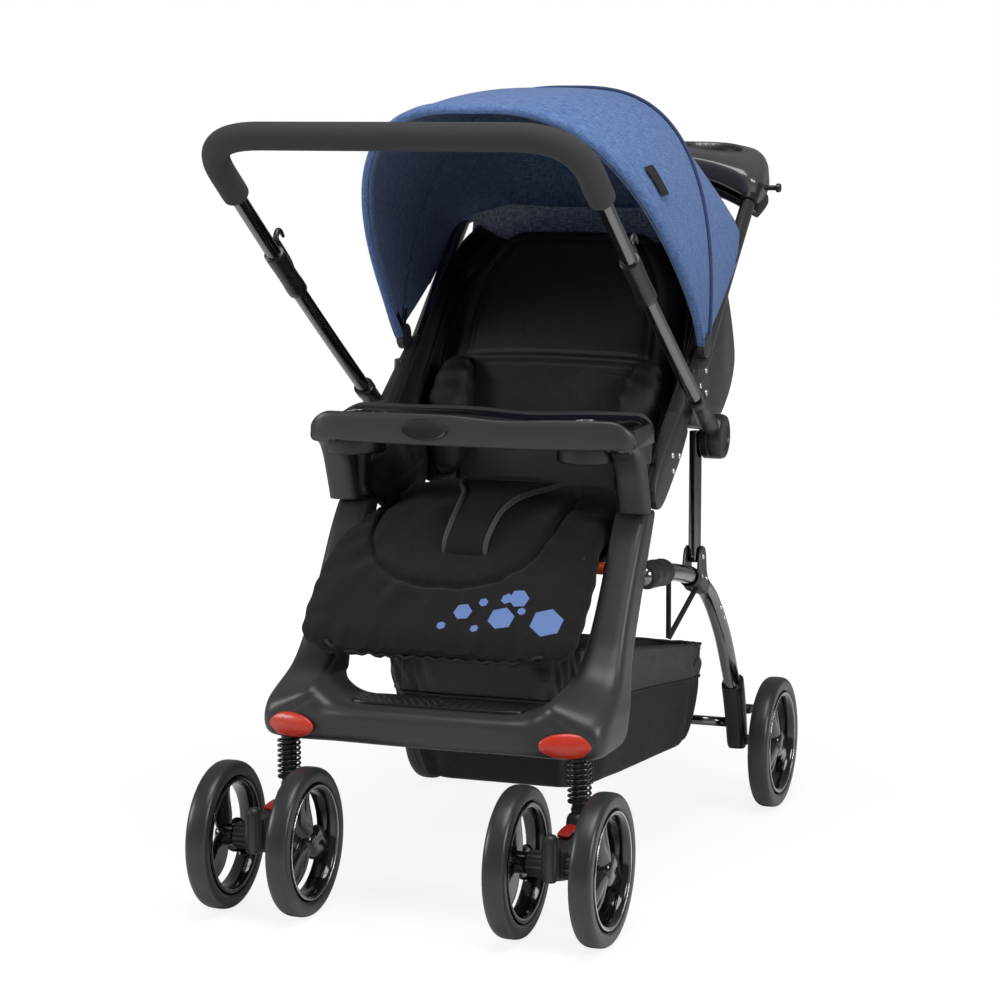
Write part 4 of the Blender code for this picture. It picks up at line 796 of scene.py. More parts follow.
# %% Front frame
def frame_stations():
    """Stations of (centre, across, up) for the left half, from the leg top to the middle."""
    half, level = 0.0228, 0.2172
    return [
        ((0.18, 0.283, 0.4528), (0.0195, 0, 0), (0, 0.0212, 0)),
        ((0.1802, 0.279, 0.4465), (0.0208, 0, 0), (0, 0.0226, -0.001)),
        ((0.1805, 0.256, 0.413), (0.0212, 0, 0), (0, 0.0225, -0.006)),
        ((0.1805, 0.225, 0.362), (0.0216, 0, 0), (0, 0.0212, -0.0115)),
        ((0.1802, 0.199, 0.32), (0.0228, 0, 0), (0, 0.0212, -0.0135)),
        ((0.18, 0.179, 0.289), (0.0252, 0, -0.001), (0, 0.0222, -0.014)),
        ((0.18, 0.158, 0.264), (0.0292, 0, -0.005), (0, 0.031, -0.01)),
        ((0.1797, 0.119, 0.2465), (0.0345, 0, -0.014), (0, 0.056, -0.002)),
        ((0.1732, 0.1066, 0.2268), (0.0382, 0, -0.0258), (0, 0.0536, 0)),
        ((0.1503, 0.104, 0.2182), (0.0308, 0, -0.025), (0, 0.053, 0)),
        ((0.106, 0.0995, level), (0.008, 0, -half), (0, 0.053, 0)),
        ((0.05, 0.0975, level), (0.002, 0, -half), (0, 0.0534, 0)),
        ((0.0, 0.097, level), (0.0, 0, -half), (0, 0.0535, 0)),
    ]


def mirrored(stations):
    """A left half and its mirror image, joined in the middle."""
    left = np.asarray(stations, float)
    return np.concatenate([left, left[::-1][1:] * np.array([-1.0, 1.0, 1.0])])


front = loft("front_frame_form", mirrored(frame_stations()), 220, 96, 0.4, even=True)
dress(front, "front_frame", charcoal, ["front_frame"])

# %% Posts and collars
POST_X, POST_Y = 0.1808, 0.285
for side, sign in SIDES:
    post = [
        (0, 0.453), (0.0168, 0.4532), (0.0172, 0.456), (0.015, 0.458), (0.0146, 0.47), (0.0142, 0.533),
        (0, 0.533),
    ]
    made = sharpen(solid_of_turn(f"post_{side}_form", post, (sign * POST_X, POST_Y, 0), (0, 0, 1), 48), 50)
    dress(made, "front_frame", black_satin, [f"post_{side}"])

# %% [markdown]
# ## Reflectors and tread
#
# Each reflector is a shallow red lens with a fine grain under its gloss. The tread is a
# thin rubber inlay with small raised studs, dense on one half and in rows on the other.

# %% Reflectors
LENS = (0.1735, 0.0525, 0.213)
for side, sign in SIDES:
    turn, tilt = crossed(full_turn(64), np.linspace(-np.pi / 2, np.pi / 2, 26))
    lx, ly = 0.0345 * np.cos(turn) * np.cos(tilt), 0.0066 * np.sin(tilt)
    lz = 0.0148 * np.sin(turn) * np.cos(tilt)
    lean = sign * math.radians(14)
    points = np.stack([
        sign * LENS[0] + lx * math.cos(lean) - ly * math.sin(lean),
        LENS[1] + lx * math.sin(lean) + ly * math.cos(lean),
        LENS[2] + lz,
    ], -1)
    lens = face_out(surface(f"reflector_{side}_form", points, closed_u=True, turn=False), 1e-6)
    dress(lens, "front_frame", lens_red, [f"reflector_{side}"])

# %% Tread with studs
TREAD_Y, TREAD_TOP = 0.097, 0.2433
TREAD_HALF = (0.108, 0.026)
turn = full_turn(96)
ex, ey = rounded(turn, 0.42)
rows = []
for share, deep in ((0.0, 0.0006), (0.9, 0.0004), (0.985, 0.0), (1.0, 0.0008), (1.0, 0.0035)):
    ring = (
        TREAD_HALF[0] * ex * share, TREAD_Y + TREAD_HALF[1] * ey * share, 0 * turn + (TREAD_TOP - deep),
    )
    rows.append(np.stack(ring, -1))
pad = surface("tread_pad", np.stack(rows), closed_v=True, turn=False)
gx, gy = crossed(np.arange(-0.0935, 0.001, 0.0096), np.arange(-0.0168, 0.018, 0.0084))
gx = gx + 0.0048 * (np.round(gy / 0.0084) % 2)
large = np.stack([gx.ravel(), TREAD_Y + gy.ravel(), np.full(gx.size, 1.45)], -1)
gx, gy = crossed(np.arange(0.012, 0.095, 0.0115), np.arange(-0.018, 0.019, 0.004))
small = np.stack([gx.ravel(), TREAD_Y + gy.ravel(), np.full(gx.size, 0.75)], -1)
spots = np.concatenate([large, small])
spots = spots[np.abs(spots[:, 0]) < 0.097]
stud_turn = full_turn(8)
profile = np.array([[1.0, 0.0], [0.86, 0.6], [0.35, 0.95]])
stud = np.stack([
    profile[:, None, 0] * np.cos(stud_turn), profile[:, None, 0] * np.sin(stud_turn),
    profile[:, None, 1] + 0 * stud_turn,
], -1) * np.array([0.0014, 0.0014, 0.0009])
place = np.column_stack([spots[:, :2], np.full(len(spots), TREAD_TOP - 0.0007)])
many = (place[:, None, None] + stud[None] * spots[:, 2, None, None, None]).reshape(-1, 3) + ORIGIN
cell = np.arange(24).reshape(3, 8)
quads = quads_of(np.concatenate([cell, cell[:, :1]], 1))
faces = (quads[None] + 24 * np.arange(len(spots))[:, None, None]).reshape(-1, 4).tolist()
faces += (cell[2][None] + 24 * np.arange(len(spots))[:, None]).tolist()
studs = bpy.data.meshes.new("studs")
studs.from_pydata(many.tolist(), [], faces)
tread = joined("footrest_tread_form", [pad, show("studs", studs)])
dress(tread, "front_frame", tread_black, ["footrest_tread"])
print("tread studs", len(spots))

# %% [markdown]
# ## Handle
#
# One steel tube is bent into a U and runs through a foam sleeve. Each arm ends in a
# socket on a large round hub. A sliding sleeve on each arm carries the hook that holds
# the handle when it is swung to the rear.

# %% Handle tube, grip, sockets and hubs
HUB = np.array([0.483, 0.524])
ARM_X = 0.2205
ARM_PLANE = (0.0, 0.56, 0.83)


def arm_place(reach, sign=1, across=0.0):
    """A point on the arm: reach from the hub on a slowly bending line, across to up and rear."""
    reach = np.asarray(reach, float)
    angle = np.radians(147.6 - 2.0 * np.minimum(reach / 0.67, 1.0))
    y = HUB[0] + reach * np.cos(angle) + across * np.sin(angle)
    z = HUB[1] + reach * np.sin(angle) - across * np.cos(angle)
    return np.stack([sign * ARM_X + 0 * y, y, z], -1)


def handle_route(count):
    """The U: up the left arm, round a wide corner, across, and down the right arm."""
    arm = arm_place(np.linspace(0.104, 0.6, 24))
    corner = np.array([ARM_X + 0.003, -0.07, 0.903])
    first = corner + unit(arm[-1] - corner) * 0.075
    last = corner - np.array([0.075, 0, 0])
    t = np.linspace(0, 1, 16)[:, None]
    bend = (1 - t) ** 2 * first + 2 * t * (1 - t) * corner + t * t * last
    half = np.concatenate([arm, bend[1:], np.linspace(last, [0, -0.07, 0.903], 6)[1:]])
    whole = np.concatenate([half, half[::-1][1:] * np.array([-1, 1, 1])])
    step = np.concatenate([[0], np.cumsum(np.linalg.norm(np.diff(whole, axis=0), axis=1))])
    even = np.linspace(0, step[-1], count)
    return np.stack([np.interp(even, step, whole[:, k]) for k in range(3)], -1), even


handle_path, handle_walk = handle_route(260)
steel = tube("handle_tube_form", handle_path, 0.0091, ARM_PLANE, 28)
dress(steel, "handle", dark_tube, ["handle_tube"])
GRIP_START = 0.447
total = handle_walk[-1]
inside = (handle_walk > GRIP_START) & (handle_walk < total - GRIP_START)
grip_path = handle_path[inside]
from_end = np.minimum(handle_walk[inside] - GRIP_START, total - GRIP_START - handle_walk[inside])
grip_radius = 0.016 - 0.0026 * bell(from_end, 0.0035)
grip = tube("handle_grip_form", grip_path, grip_radius, ARM_PLANE, 40)
dress(sharpen(grip, 60), "handle", foam_grey, ["handle_grip"])
for side, sign in SIDES:
    disc = [
        (0, 0.2076), (0.0262, 0.2076), (0.0282, 0.209), (0.0283, 0.217), (0.0276, 0.2178),
        (0.0283, 0.2186), (0.0283, 0.23), (0.0268, 0.2338), (0.0225, 0.235), (0.018, 0.2344),
        (0.0172, 0.2334), (0, 0.233),
    ]
    axis = (sign, 0, 0)
    hub = solid_of_turn("disc", disc, (0, *HUB), axis, 80)
    reach = np.array([0.006, 0.03, 0.06, 0.092, 0.0935, 0.1045, 0.106])
    radius = np.array([0.0116, 0.0118, 0.012, 0.0121, 0.0131, 0.0131, 0.0118])
    socket = tube("socket", arm_place(reach, sign), radius, (1, 0, 0), 36)
    made = sharpen(joined(f"handle_hub_{side}_form", [hub, socket]), 40)
    dress(made, "handle", black_satin, [f"handle_hub_{side}"])

# %% Latch sleeves with hooks
SLEEVE = (0.347, 0.4316)
for side, sign in SIDES:
    reach = np.array([
        SLEEVE[0], SLEEVE[0] + 0.0015, SLEEVE[0] + 0.012, 0.372, 0.395, SLEEVE[1] - 0.01,
        SLEEVE[1] - 0.001, SLEEVE[1],
    ])
    radius = np.array([0.0112, 0.0122, 0.0124, 0.0118, 0.0118, 0.0124, 0.0123, 0.0112])
    sleeve = tube("sleeve", arm_place(reach, sign), radius, (1, 0, 0), 40)
    hook_line = [
        (0.366, 0.008), (0.385, 0.0145), (0.418, 0.0165), (0.4335, 0.017), (0.4365, 0.0215),
        (0.435, 0.029), (0.427, 0.0318), (0.418, 0.0312),
    ]
    track = np.stack([arm_place(r, sign, a) for r, a in hook_line])
    thick = np.interp(np.linspace(0, 1, 44), [0, 0.15, 0.8, 1], [0.003, 0.004, 0.0034, 0.0018])
    hook = tube("hook", route(track, 44), thick, (1, 0, 0), 20)
    made = sharpen(joined(f"latch_{side}_form", [sleeve, hook]), 45)
    dress(made, f"latch_{side}", black_satin, [f"latch_{side}"])

# %% [markdown]
# ## Push frame
#
# Moulded covers hide the main fold. From them a dark tube rises on each side to the
# console. Small bright rivets hold the covers.

# %% Covers, tubes and rivets
FOLD = np.array([0.298, 0.475])
COVER_TURN = math.radians(34.4)
SIDE_X = 0.196
along = np.array([math.cos(COVER_TURN), math.sin(COVER_TURN)])
aside = np.array([-along[1], along[0]])


def on_cover(reach, across=0.0):
    """A place (y, z) counted from the fold pivot along and across the cover."""
    return FOLD + reach * along + across * aside


def rivet(name, x, place, sign, radius=0.0042):
    """A domed rivet head on a side face."""
    dome = [
        (0, 0.0018), (0.5 * radius, 0.0016), (0.85 * radius, 0.001), (radius, 0), (radius, -0.001),
        (0, -0.001),
    ]
    return solid_of_turn(name, dome, (x, *place), (sign, 0, 0), 20)


def section(x, wide, reach, half, shift):
    """A loft station on the cover: half its width across X and half its height."""
    y, z = on_cover(reach, shift)
    return (x, y, z), (wide, 0, 0), (0, aside[0] * half, aside[1] * half)


for side, sign in SIDES:
    rows = []
    for reach, inner, outer, half, shift in (
        (-0.019, 0.1975, 0.206, 0.006, 0.0), (-0.014, 0.196, 0.2074, 0.015, 0.0),
        (0.0, 0.1958, 0.208, 0.0205, 0.0), (0.02, 0.1955, 0.2082, 0.0222, 0.0),
        (0.05, 0.19, 0.2084, 0.023, 0.0), (0.09, 0.185, 0.2084, 0.0225, 0.0),
        (0.12, 0.1832, 0.2084, 0.0195, 0.002), (0.126, 0.1836, 0.208, 0.0185, 0.002),
        (0.127, 0.1845, 0.2072, 0.017, 0.002),
    ):
        middle, wide = sign * (inner + outer) / 2, sign * (outer - inner) / 2
        rows.append(section(middle, wide, reach, half, shift))
    lower = loft("cover", rows, 60, 48, 0.42)
    girth = [
        (0.12, 0.0124), (0.15, 0.0126), (0.2, 0.0126), (0.262, 0.0124), (0.268, 0.0116), (0.2725, 0.0102),
    ]
    rows = [section(sign * 0.195, sign * radius, reach, radius, 0.001) for reach, radius in girth]
    upper = loft("sleeve", rows, 50, 44, 0.9)
    sizes = ((0.61, 0.02, 0.006), (0.585, 0.0225, 0.006), (0.562, 0.0215, 0.0058), (0.55, 0.018, 0.0052))
    rows = blocks(sign * 0.2012, [(0.483, z, sign * deep, half, 0) for z, half, deep in sizes])
    lug = loft("lug", rows, 20, 36, 0.4)
    seat = [
        (0, 0.199), (0.015, 0.199), (0.0165, 0.1996), (0.0165, 0.2078), (0.015, 0.2088), (0.006, 0.209),
        (0, 0.2086),
    ]
    pivot_cap = solid_of_turn("pivot", seat, (0, 0.492, 0.638), (sign, 0, 0), 40)
    cover = sharpen(joined(f"fold_bracket_{side}_form", [lower, upper, lug, pivot_cap]), 45)
    dress(cover, "push_frame", charcoal, [f"fold_bracket_{side}"])
    spots = [
        on_cover(0.052, -0.01), on_cover(0.06, 0.008), on_cover(0.082, -0.012), (0.491, 0.578),
        on_cover(0.232, 0.0), on_cover(0.202, 0.0),
    ]
    heads = [
        rivet("rivet", sign * (0.2083 if n < 3 else 0.2072), spot, sign)
        for n, spot in enumerate(spots)
    ]
    dress(joined(f"rivets_{side}", heads), "push_frame", rivet_chrome)
    line = [on_cover(0.264), (0.6, 0.701), (0.7, 0.79), (0.7325, 0.818)]
    tube_line = np.array([(sign * SIDE_X, y, z) for y, z in line])
    push = tube(f"push_tube_{side}_form", route(tube_line, 60), 0.0095, (1, 0, 0), 32)
    dress(push, "push_frame", dark_tube, [f"push_tube_{side}"])

# %% [markdown]
# ## Rear frame
#
# Each rear leg is one tube, bent like a bow from the front pivot over the strut's clevis
# down to a plastic foot. The strut is a straight link up to the handle hub.

# %% Rear legs, clevises, feet and struts
STRUT_FOOT = (0.483, 0.37)
for side, sign in SIDES:
    x = sign * SIDE_X
    line = [
        (x, 0.262, 0.3775), (x, 0.3, 0.3765), (x, 0.371, 0.367), (x, 0.432, 0.355), (x, 0.49, 0.338),
        (x, 0.552, 0.308), (x, 0.614, 0.25), (x, 0.656, 0.19), (x, 0.682, 0.15),
    ]
    leg = tube(f"rear_leg_{side}_form", route(line, 120), 0.011, (1, 0, 0), 32)
    dress(leg, "rear_frame", dark_tube, [f"rear_leg_{side}"])
    y, z = STRUT_FOOT
    parts = []
    for way in (1, -1):
        near = SIDE_X + way * 0.008
        far = near + way * 0.0036
        outline = [
            (y - 0.024, 0.34), (y - 0.018, 0.356), (y - 0.013, z + 0.004), (y - 0.009, z + 0.011),
            (y, z + 0.014), (y + 0.009, z + 0.011), (y + 0.0135, z + 0.004), (y + 0.018, 0.35),
            (y + 0.03, 0.327), (y + 0.024, 0.319), (y, 0.326),
        ]
        parts.append(capped("ear", slab_points(outline, sign * near, sign * far)))
    saddle = route([(x, 0.466, 0.346), (x, 0.49, 0.338), (x, 0.512, 0.329)], 12)
    parts.append(tube("saddle", saddle, 0.0128, (1, 0, 0), 36))
    clevis = sharpen(joined(f"clevis_{side}", parts), 40)
    dress(clevis, "rear_frame", charcoal)
    upper, lower = ((0.483, 0.37), (0.478, 0.346), (0.498, 0.34)), ((0.572, 0.2905), (0.589, 0.2745))
    heads = [rivet("rivet", sign * 0.2076, spot, sign, 0.0036) for spot in upper]
    heads += [rivet("rivet", sign * 0.2068, spot, sign, 0.0034) for spot in lower]
    dress(joined(f"leg_rivets_{side}", heads), "rear_frame", rivet_chrome)
    post = [(x, STRUT_FOOT[0], 0.363), (x, STRUT_FOOT[0], 0.45), (x, HUB[0], 0.53)]
    strut = tube(f"strut_{side}_form", route(post, 20), 0.008, (1, 0, 0), 32)
    dress(bevel(strut, 0.001), "struts", dark_tube, [f"strut_{side}"])
    rows = [
        (0.67, 0.172, 0.0135, 0.0112, 0.008), (0.6712, 0.17, 0.0142, 0.0118, 0.0084),
        (0.68, 0.149, 0.014, 0.0128, 0.0068), (0.6915, 0.113, 0.0134, 0.0134, 0.0038),
        (0.698, 0.086, 0.0128, 0.014, 0.002), (0.699, 0.0778, 0.0112, 0.0115, 0.001),
    ]
    parts = [loft("foot", blocks(x, rows), 50, 44, 0.62)]
    axle = [
        (0, 0.19), (0.007, 0.19), (0.007, REAR_X - 0.013), (0.0052, REAR_X - 0.0125),
        (0.0052, REAR_X + 0.01), (0, REAR_X + 0.01),
    ]
    parts.append(solid_of_turn("axle", axle, (0, REAR_Y, WHEEL_R), (sign, 0, 0), 32))
    lug = [
        (0.695, 0.133), (0.712, 0.1325), (0.7185, 0.1295), (0.72, 0.1255), (0.718, 0.1215),
        (0.712, 0.1195), (0.695, 0.1175),
    ]
    parts.append(capped("lug", slab_points(lug, x - sign * 0.0045, x + sign * 0.003, 0.0006)))
    pin = [(0, -0.002), (0.003, -0.002), (0.003, 0.0122), (0, 0.0122)]
    parts.append(solid_of_turn("pin", pin, (x, 0.714, 0.126), (sign, 0, 0), 24))
    foot = sharpen(joined(f"rear_foot_{side}_form", parts), 45)
    dress(foot, "rear_frame", black_satin, [f"rear_foot_{side}"])
    y, z = 0.714, 0.126
    outline = [
        (y - 0.0058, z), (y - 0.0045, z + 0.0042), (y, z + 0.006), (y + 0.012, z + 0.0052),
        (y + 0.026, z + 0.0022), (y + 0.044, z - 0.004), (y + 0.048, z - 0.0075), (y + 0.046, z - 0.0112),
        (y + 0.026, z - 0.0072), (y, z - 0.006), (y - 0.0045, z - 0.0042),
    ]
    pedal = capped(
        f"brake_pedal_{side}_form", slab_points(outline, x + sign * 0.0036, x + sign * 0.0124, 0.0008),
    )
    dress(pedal, f"brake_pedal_{side}", black_satin, [f"brake_pedal_{side}"])
cross = route([(-0.184, 0.69, 0.112), (0.0, 0.69, 0.112), (0.184, 0.69, 0.112)], 9)
bar = tube("rear_cross_tube_form", cross, 0.0065, (0, 0, 1), 28)
dress(bar, "rear_frame", dark_tube, ["rear_cross_tube"])

# %% [markdown]
# ## Hood
#
# The cloth is stretched over two bows that turn about one pivot. A bow is a flattened
# arch: its width follows the cosine to the power 0.7 and its height the sine to the power
# 0.85. Between the bows the cloth is a straight mix of the two arches, lifted a little in
# the middle, with shallow folds that run along the pull of the cloth.

# %% Bows and hood cloth
CANOPY_PIVOT = (0.492, 0.638)
FRONT_BOW = (math.radians(134.5), 0.41, 0.2015)
MID_BOW = (math.radians(77.5), 0.325, 0.2052)
REAR_HEM = (math.radians(41.0), 0.262, 0.203)


def arch(bow, turn):
    """Points of an arch at the given turns, from the left foot over the top to the right foot."""
    angle, reach, half_x = bow
    c, s = np.cos(turn), np.maximum(np.sin(turn), 0)
    if bow is REAR_HEM:
        return rear_hem(c, s)
    height = reach * s**0.85
    return np.stack([
        half_x * np.sign(c) * np.abs(c) ** 0.7,
        CANOPY_PIVOT[0] + height * math.cos(angle),
        CANOPY_PIVOT[1] + height * math.sin(angle),
    ], -1)


def rear_hem(c, s):
    """The rear edge: up each push tube to a corner, then across with a soft rise in the middle."""
    x = REAR_HEM[2] * np.sign(c) * np.abs(c) ** 0.07
    share = np.abs(x) / REAR_HEM[2]
    reach = s**0.18 * (REAR_HEM[1] - 0.02 * share**2)
    angle = np.radians(41.0 - 7.5 * share**2)
    return np.stack([
        x, CANOPY_PIVOT[0] + reach * np.cos(angle), CANOPY_PIVOT[1] + reach * np.sin(angle),
    ], -1)


def arch_out(bow, points):
    """Unit directions that point away from the hood's inside, in the plane of an arch."""
    across = np.array([0, -math.sin(bow[0]), math.cos(bow[0])])
    out = unit(np.cross(unit(np.gradient(points, axis=0)), across))
    if out[len(out) // 2] @ np.array([0, math.cos(bow[0]), math.sin(bow[0])]) < 0:
        out = -out
    return out, across


def even_turns(count, start=0.0):
    """Turns that crowd towards the feet, where the arch bends most."""
    t = np.linspace(0, 1, count)
    return start + (math.pi - 2 * start) * (0.5 - 0.5 * np.cos(math.pi * t))


def make_bow(name, bow, body):
    """A flat strip that follows its arch, with flared black feet round the pivot."""
    turns = even_turns(150)
    line = arch(bow, turns)
    out, across = arch_out(bow, line)
    lead = unit(np.array([0, *(line[75][1:] - np.array(CANOPY_PIVOT))]))
    line[0] -= lead * 0.006
    line[-1] -= lead * 0.006
    foot = np.exp(-np.minimum(turns, math.pi - turns) / 0.12)
    wide = (0.0034 + 0.0022 * foot)[:, None, None]
    c, v = rounded(full_turn(24) + 0.02, 0.4)
    points = line[:, None] + wide * c[None, :, None] * across + 0.0016 * v[None, :, None] * out[:, None]
    made = capped(name + "_form", points)
    dress(made, body, (black_satin, canopy_lining), [name])
    faces = len(made.data.polygons)
    ring = np.arange(faces) // 24
    made.data.polygons.foreach_set("material_index", ((ring > 14) & (ring < 134)).astype(np.int32))


make_bow("canopy_front_bow", FRONT_BOW, "canopy_front")
make_bow("canopy_mid_bow", MID_BOW, "canopy_mid")
HOOD_LIFT = 0.0026
HOOD_START = 0.02


def pull_of(first, last, turns):
    """Unit directions in which the cloth runs from one arch to the other, and outwards from it."""
    a, b = arch(first, turns), arch(last, turns)
    pull = unit(b - a)
    out = unit(np.cross(unit(np.gradient(a, axis=0)), pull))
    return pull, out * np.sign(np.sum(out * (a - np.array([0.0, *CANOPY_PIVOT])), axis=1, keepdims=True))


def hood_rows(first, last, turns, shares, crown, last_edge, hem=None):
    """Cloth between two arches: rows are mixed from one to the other and raised by a crown."""
    a, b = arch(first, turns), arch(last, turns)
    out_a = arch_out(first, a)[0]
    out_b, across_b = arch_out(last, b)
    if hem:
        pull, out_a = pull_of(first, last, turns)
        a = a + out_a * hem[0] - pull * hem[1]
    else:
        a = a + out_a * HOOD_LIFT
    b = b + out_b * HOOD_LIFT + across_b * last_edge
    s = shares[:, None, None]
    side = np.sin(turns)[None, :, None] ** 1.2
    rows = (1 - s) * a + s * b
    out = unit((1 - s) * out_a + s * out_b)
    return rows + out * crown * np.sin(np.pi * s) * side, out


def folds(shares, turns, seed, size):
    """Shallow folds: a sum of waves that run nearly along the pull, strongest between the bows."""
    s, t = crossed(shares, turns)
    rng = np.random.default_rng(seed)
    total = np.zeros_like(s)
    for _ in range(7):
        count, lean, phase = rng.uniform(5, 19), rng.uniform(-2.5, 2.5), rng.uniform(0, 6.28)
        total += np.sin(count * t + lean * s + phase) / count**0.5
    return size * total * np.sin(np.pi * s) ** 0.6 * np.sin(t) ** 0.3


turns = even_turns(240, HOOD_START)
HEM = (0.0044, 0.0052)
shares = np.concatenate([np.linspace(0, 0.14, 34), np.linspace(0.14, 1, 70)[1:]])
rows, out = hood_rows(FRONT_BOW, MID_BOW, turns, shares, 0.01, 0.0006, HEM)
stitch = bell(shares - 0.098, 0.0055) + 0.5 * bell(shares - 0.118, 0.004)
band = 0.003 * np.sin(np.pi * np.clip(shares / 0.098, 0, 1)) ** 0.6
nearby = bell(shares - 0.108, 0.06)[:, None] * np.sin(turns * 47 + 2 * np.sin(turns * 9))
shift = band[:, None] - 0.0016 * stitch[:, None] + 0.00055 * nearby
shift = shift + folds(shares, turns, 5, 0.0013) * np.clip((shares - 0.11) * 8, 0, 1)[:, None]
bulge = (np.abs(np.cos(turns)) ** 0.8 * np.sin(turns) ** 0.35) * ((1 - shares) ** 1.3)[:, None]
shift = shift + 0.0075 * bulge
near_foot = bell(np.minimum(turns, math.pi - turns), 0.75) * np.sin(turns) ** 0.3
for at_share, wide, high in ((0.36, 0.045, 0.003), (0.62, 0.03, 0.0022), (0.8, 0.05, -0.002)):
    shift = shift + high * near_foot * bell(shares[:, None] - at_share - 0.1 * np.cos(turns), wide)
rows = rows + out * shift[..., None]
rows[..., 2] -= (0.01 * bell(np.minimum(turns, math.pi - turns), 0.1)) * (1 - shares)[:, None] ** 0.5
hem = rows[0]
pull, away = pull_of(FRONT_BOW, MID_BOW, turns)
wrap = np.array([
    [0.0012, -0.0014], [0.0036, -0.002], [0.0062, -0.0014], [0.0078, 0.0005], [0.0084, 0.006],
    [0.0084, 0.02],
])
inner = hem[None] - away[None] * wrap[:, 0, None, None] + pull[None] * wrap[:, 1, None, None]
front_rows = np.concatenate([inner[::-1], rows])


def hood_sheet(name, rows, thick=0.0008):
    """A cloth sheet with blue outside and its lining inside, thickened inwards."""
    made = surface(name, rows, turn=False)
    middle = np.array([0.0, *CANOPY_PIVOT]) + ORIGIN
    mesh = made.data
    normal, centre = np.empty(len(mesh.polygons) * 3), np.empty(len(mesh.polygons) * 3)
    mesh.polygons.foreach_get("normal", normal)
    mesh.polygons.foreach_get("center", centre)
    if np.sum(normal.reshape(-1, 3) * (centre.reshape(-1, 3) - middle)) < 0:
        mesh.flip_normals()
    wall = made.modifiers.new("cloth", "SOLIDIFY")
    wall.thickness = thick
    wall.offset = -1.0
    wall.material_offset = 1
    made.data.materials.append(canopy_blue)
    made.data.materials.append(canopy_lining)
    return made, flat_of(rows)


front_panel, flat = hood_sheet("canopy_front_panel_form", front_rows)
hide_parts("canopy_front_panel")
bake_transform(front_panel)
shares = np.linspace(0, 1, 60)
rows, out = hood_rows(MID_BOW, REAR_HEM, turns, shares, 0.004, 0.0)
rows = rows + out * (folds(shares, turns, 9, 0.0019))[..., None]
rows = rows - out * 0.0012 * bell(shares - 0.93, 0.02)[:, None, None]
rear_panel, flat = hood_sheet("canopy_rear_panel_form", rows)
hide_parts("canopy_rear_panel")
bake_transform(rear_panel)
line = arch(MID_BOW, turns)
out, across = arch_out(MID_BOW, line)
welt = tube("canopy_piping", line + out * 0.0046, 0.0024, (1e-3, *across[1:]), 14)
dress(welt, "canopy_mid", canopy_piping)
tab_turns, tab_shares = np.linspace(0.61, 0.77, 16), np.linspace(0.2, 0.3, 8)
rows, out = hood_rows(FRONT_BOW, MID_BOW, tab_turns, tab_shares, 0.01, 0.0006, HEM)
tab = surface("canopy_tab", rows + out * 0.0072, turn=False)
thicken(tab, 0.0009)
dress(tab, "canopy_front", cloth_back)

# %% [markdown]
# ## Backrest and side cloth
#
# The backrest is a padded board: a rounded section carried up its height, with a crowned
# front, a flap and two side bolsters set off by seams. A strip of grey melange closes the
# gap under the hood. Its colour is painted much lighter than the cloth's own, as painted light
# that makes up for the shade under the hood. A cloth wing fills each side. Behind hangs a soft
# nylon pouch: a loop of a front and a rear line, carried across X.

# %% Backrest, melange strip and wings
BACK_LOW, BACK_HIGH = np.array([0.0, 0.44, 0.456]), np.array([0.0, 0.612, 0.768])
back_up = unit(BACK_HIGH - BACK_LOW)
back_out = np.array([0.0, back_up[2], -back_up[1]])
back_stations = np.array([
    [-0.03, 0.148, -0.01, 0.022], [0.05, 0.15, -0.012, 0.028], [0.14, 0.154, -0.014, 0.04],
    [0.34, 0.159, -0.016, 0.086], [0.52, 0.159, -0.016, 0.122], [0.64, 0.157, -0.016, 0.096],
    [0.8, 0.146, -0.014, 0.052], [0.9, 0.1235, -0.012, 0.04], [0.97, 0.104, -0.011, 0.034],
    [1.0, 0.092, -0.008, 0.029],
])
FLAP = 0.455
share, width, front_depth, rear_depth = route(back_stations, 220).T
turn = full_turn(200) + 0.005
c, v = rounded(turn, 0.5)
across = c * width[:, None]
depth = (rear_depth + front_depth)[:, None] / 2 - v * (rear_depth - front_depth)[:, None] / 2
is_front = np.clip(v * 3, 0, 1)
x_share = across / width[:, None]
seam = bell(np.abs(x_share) - 0.74, 0.018) + bell(share[:, None] - 0.955, 0.008)
flap_start = np.clip((share[:, None] - FLAP) / 0.012, 0, 1)
flap = 0.0065 * flap_start * np.clip((0.8 - np.abs(x_share)) / 0.05, 0, 1)
seam = seam + 0.7 * bell(share[:, None] - FLAP - 0.035, 0.006) * (np.abs(x_share) < 0.78)
puff = 0.005 * np.cos(np.clip(x_share / 0.74, -1, 1) * np.pi / 2)
puff = puff + 0.004 * bell(np.abs(x_share) - 0.87, 0.07)
rng = np.random.default_rng(3)
crease = np.zeros_like(across)
for _ in range(9):
    k, lean, phase = rng.uniform(6, 26), rng.uniform(-14, 14), rng.uniform(0, 6.28)
    crease += np.sin(k * x_share + lean * share[:, None] + phase) / k**0.5
crease = 0.0011 * crease * (0.35 + bell(share[:, None] - 0.12, 0.22))
depth = (
    depth - is_front * (puff + flap - 0.003 * seam + crease) * np.clip((1.0 - share[:, None]) * 14, 0, 1)
    + (1 - is_front) * crease
)
points = BACK_LOW + share[:, None, None] * (BACK_HIGH - BACK_LOW) + depth[..., None] * back_out
points[..., 0] = across
back = capped("backrest_form", points)
dress(back, "backrest", cloth_back, ["backrest"])
x, h = crossed(np.linspace(-0.174, 0.174, 60), np.linspace(0, 1, 24))
low = np.array([0.655, 0.7445])
top_y, top_z = 0.6895 - 0.018 * (np.abs(x) / 0.174) ** 3, 0.812 - 0.022 * (np.abs(x) / 0.174) ** 3
strip = np.stack([
    x, low[0] + (top_y - low[0]) * h + 0.004 * np.sin(np.pi * h), low[1] + (top_z - low[1]) * h,
], -1)
strip_sheet = surface("melange_strip", strip, turn=False)
thicken(strip_sheet, 0.0014)
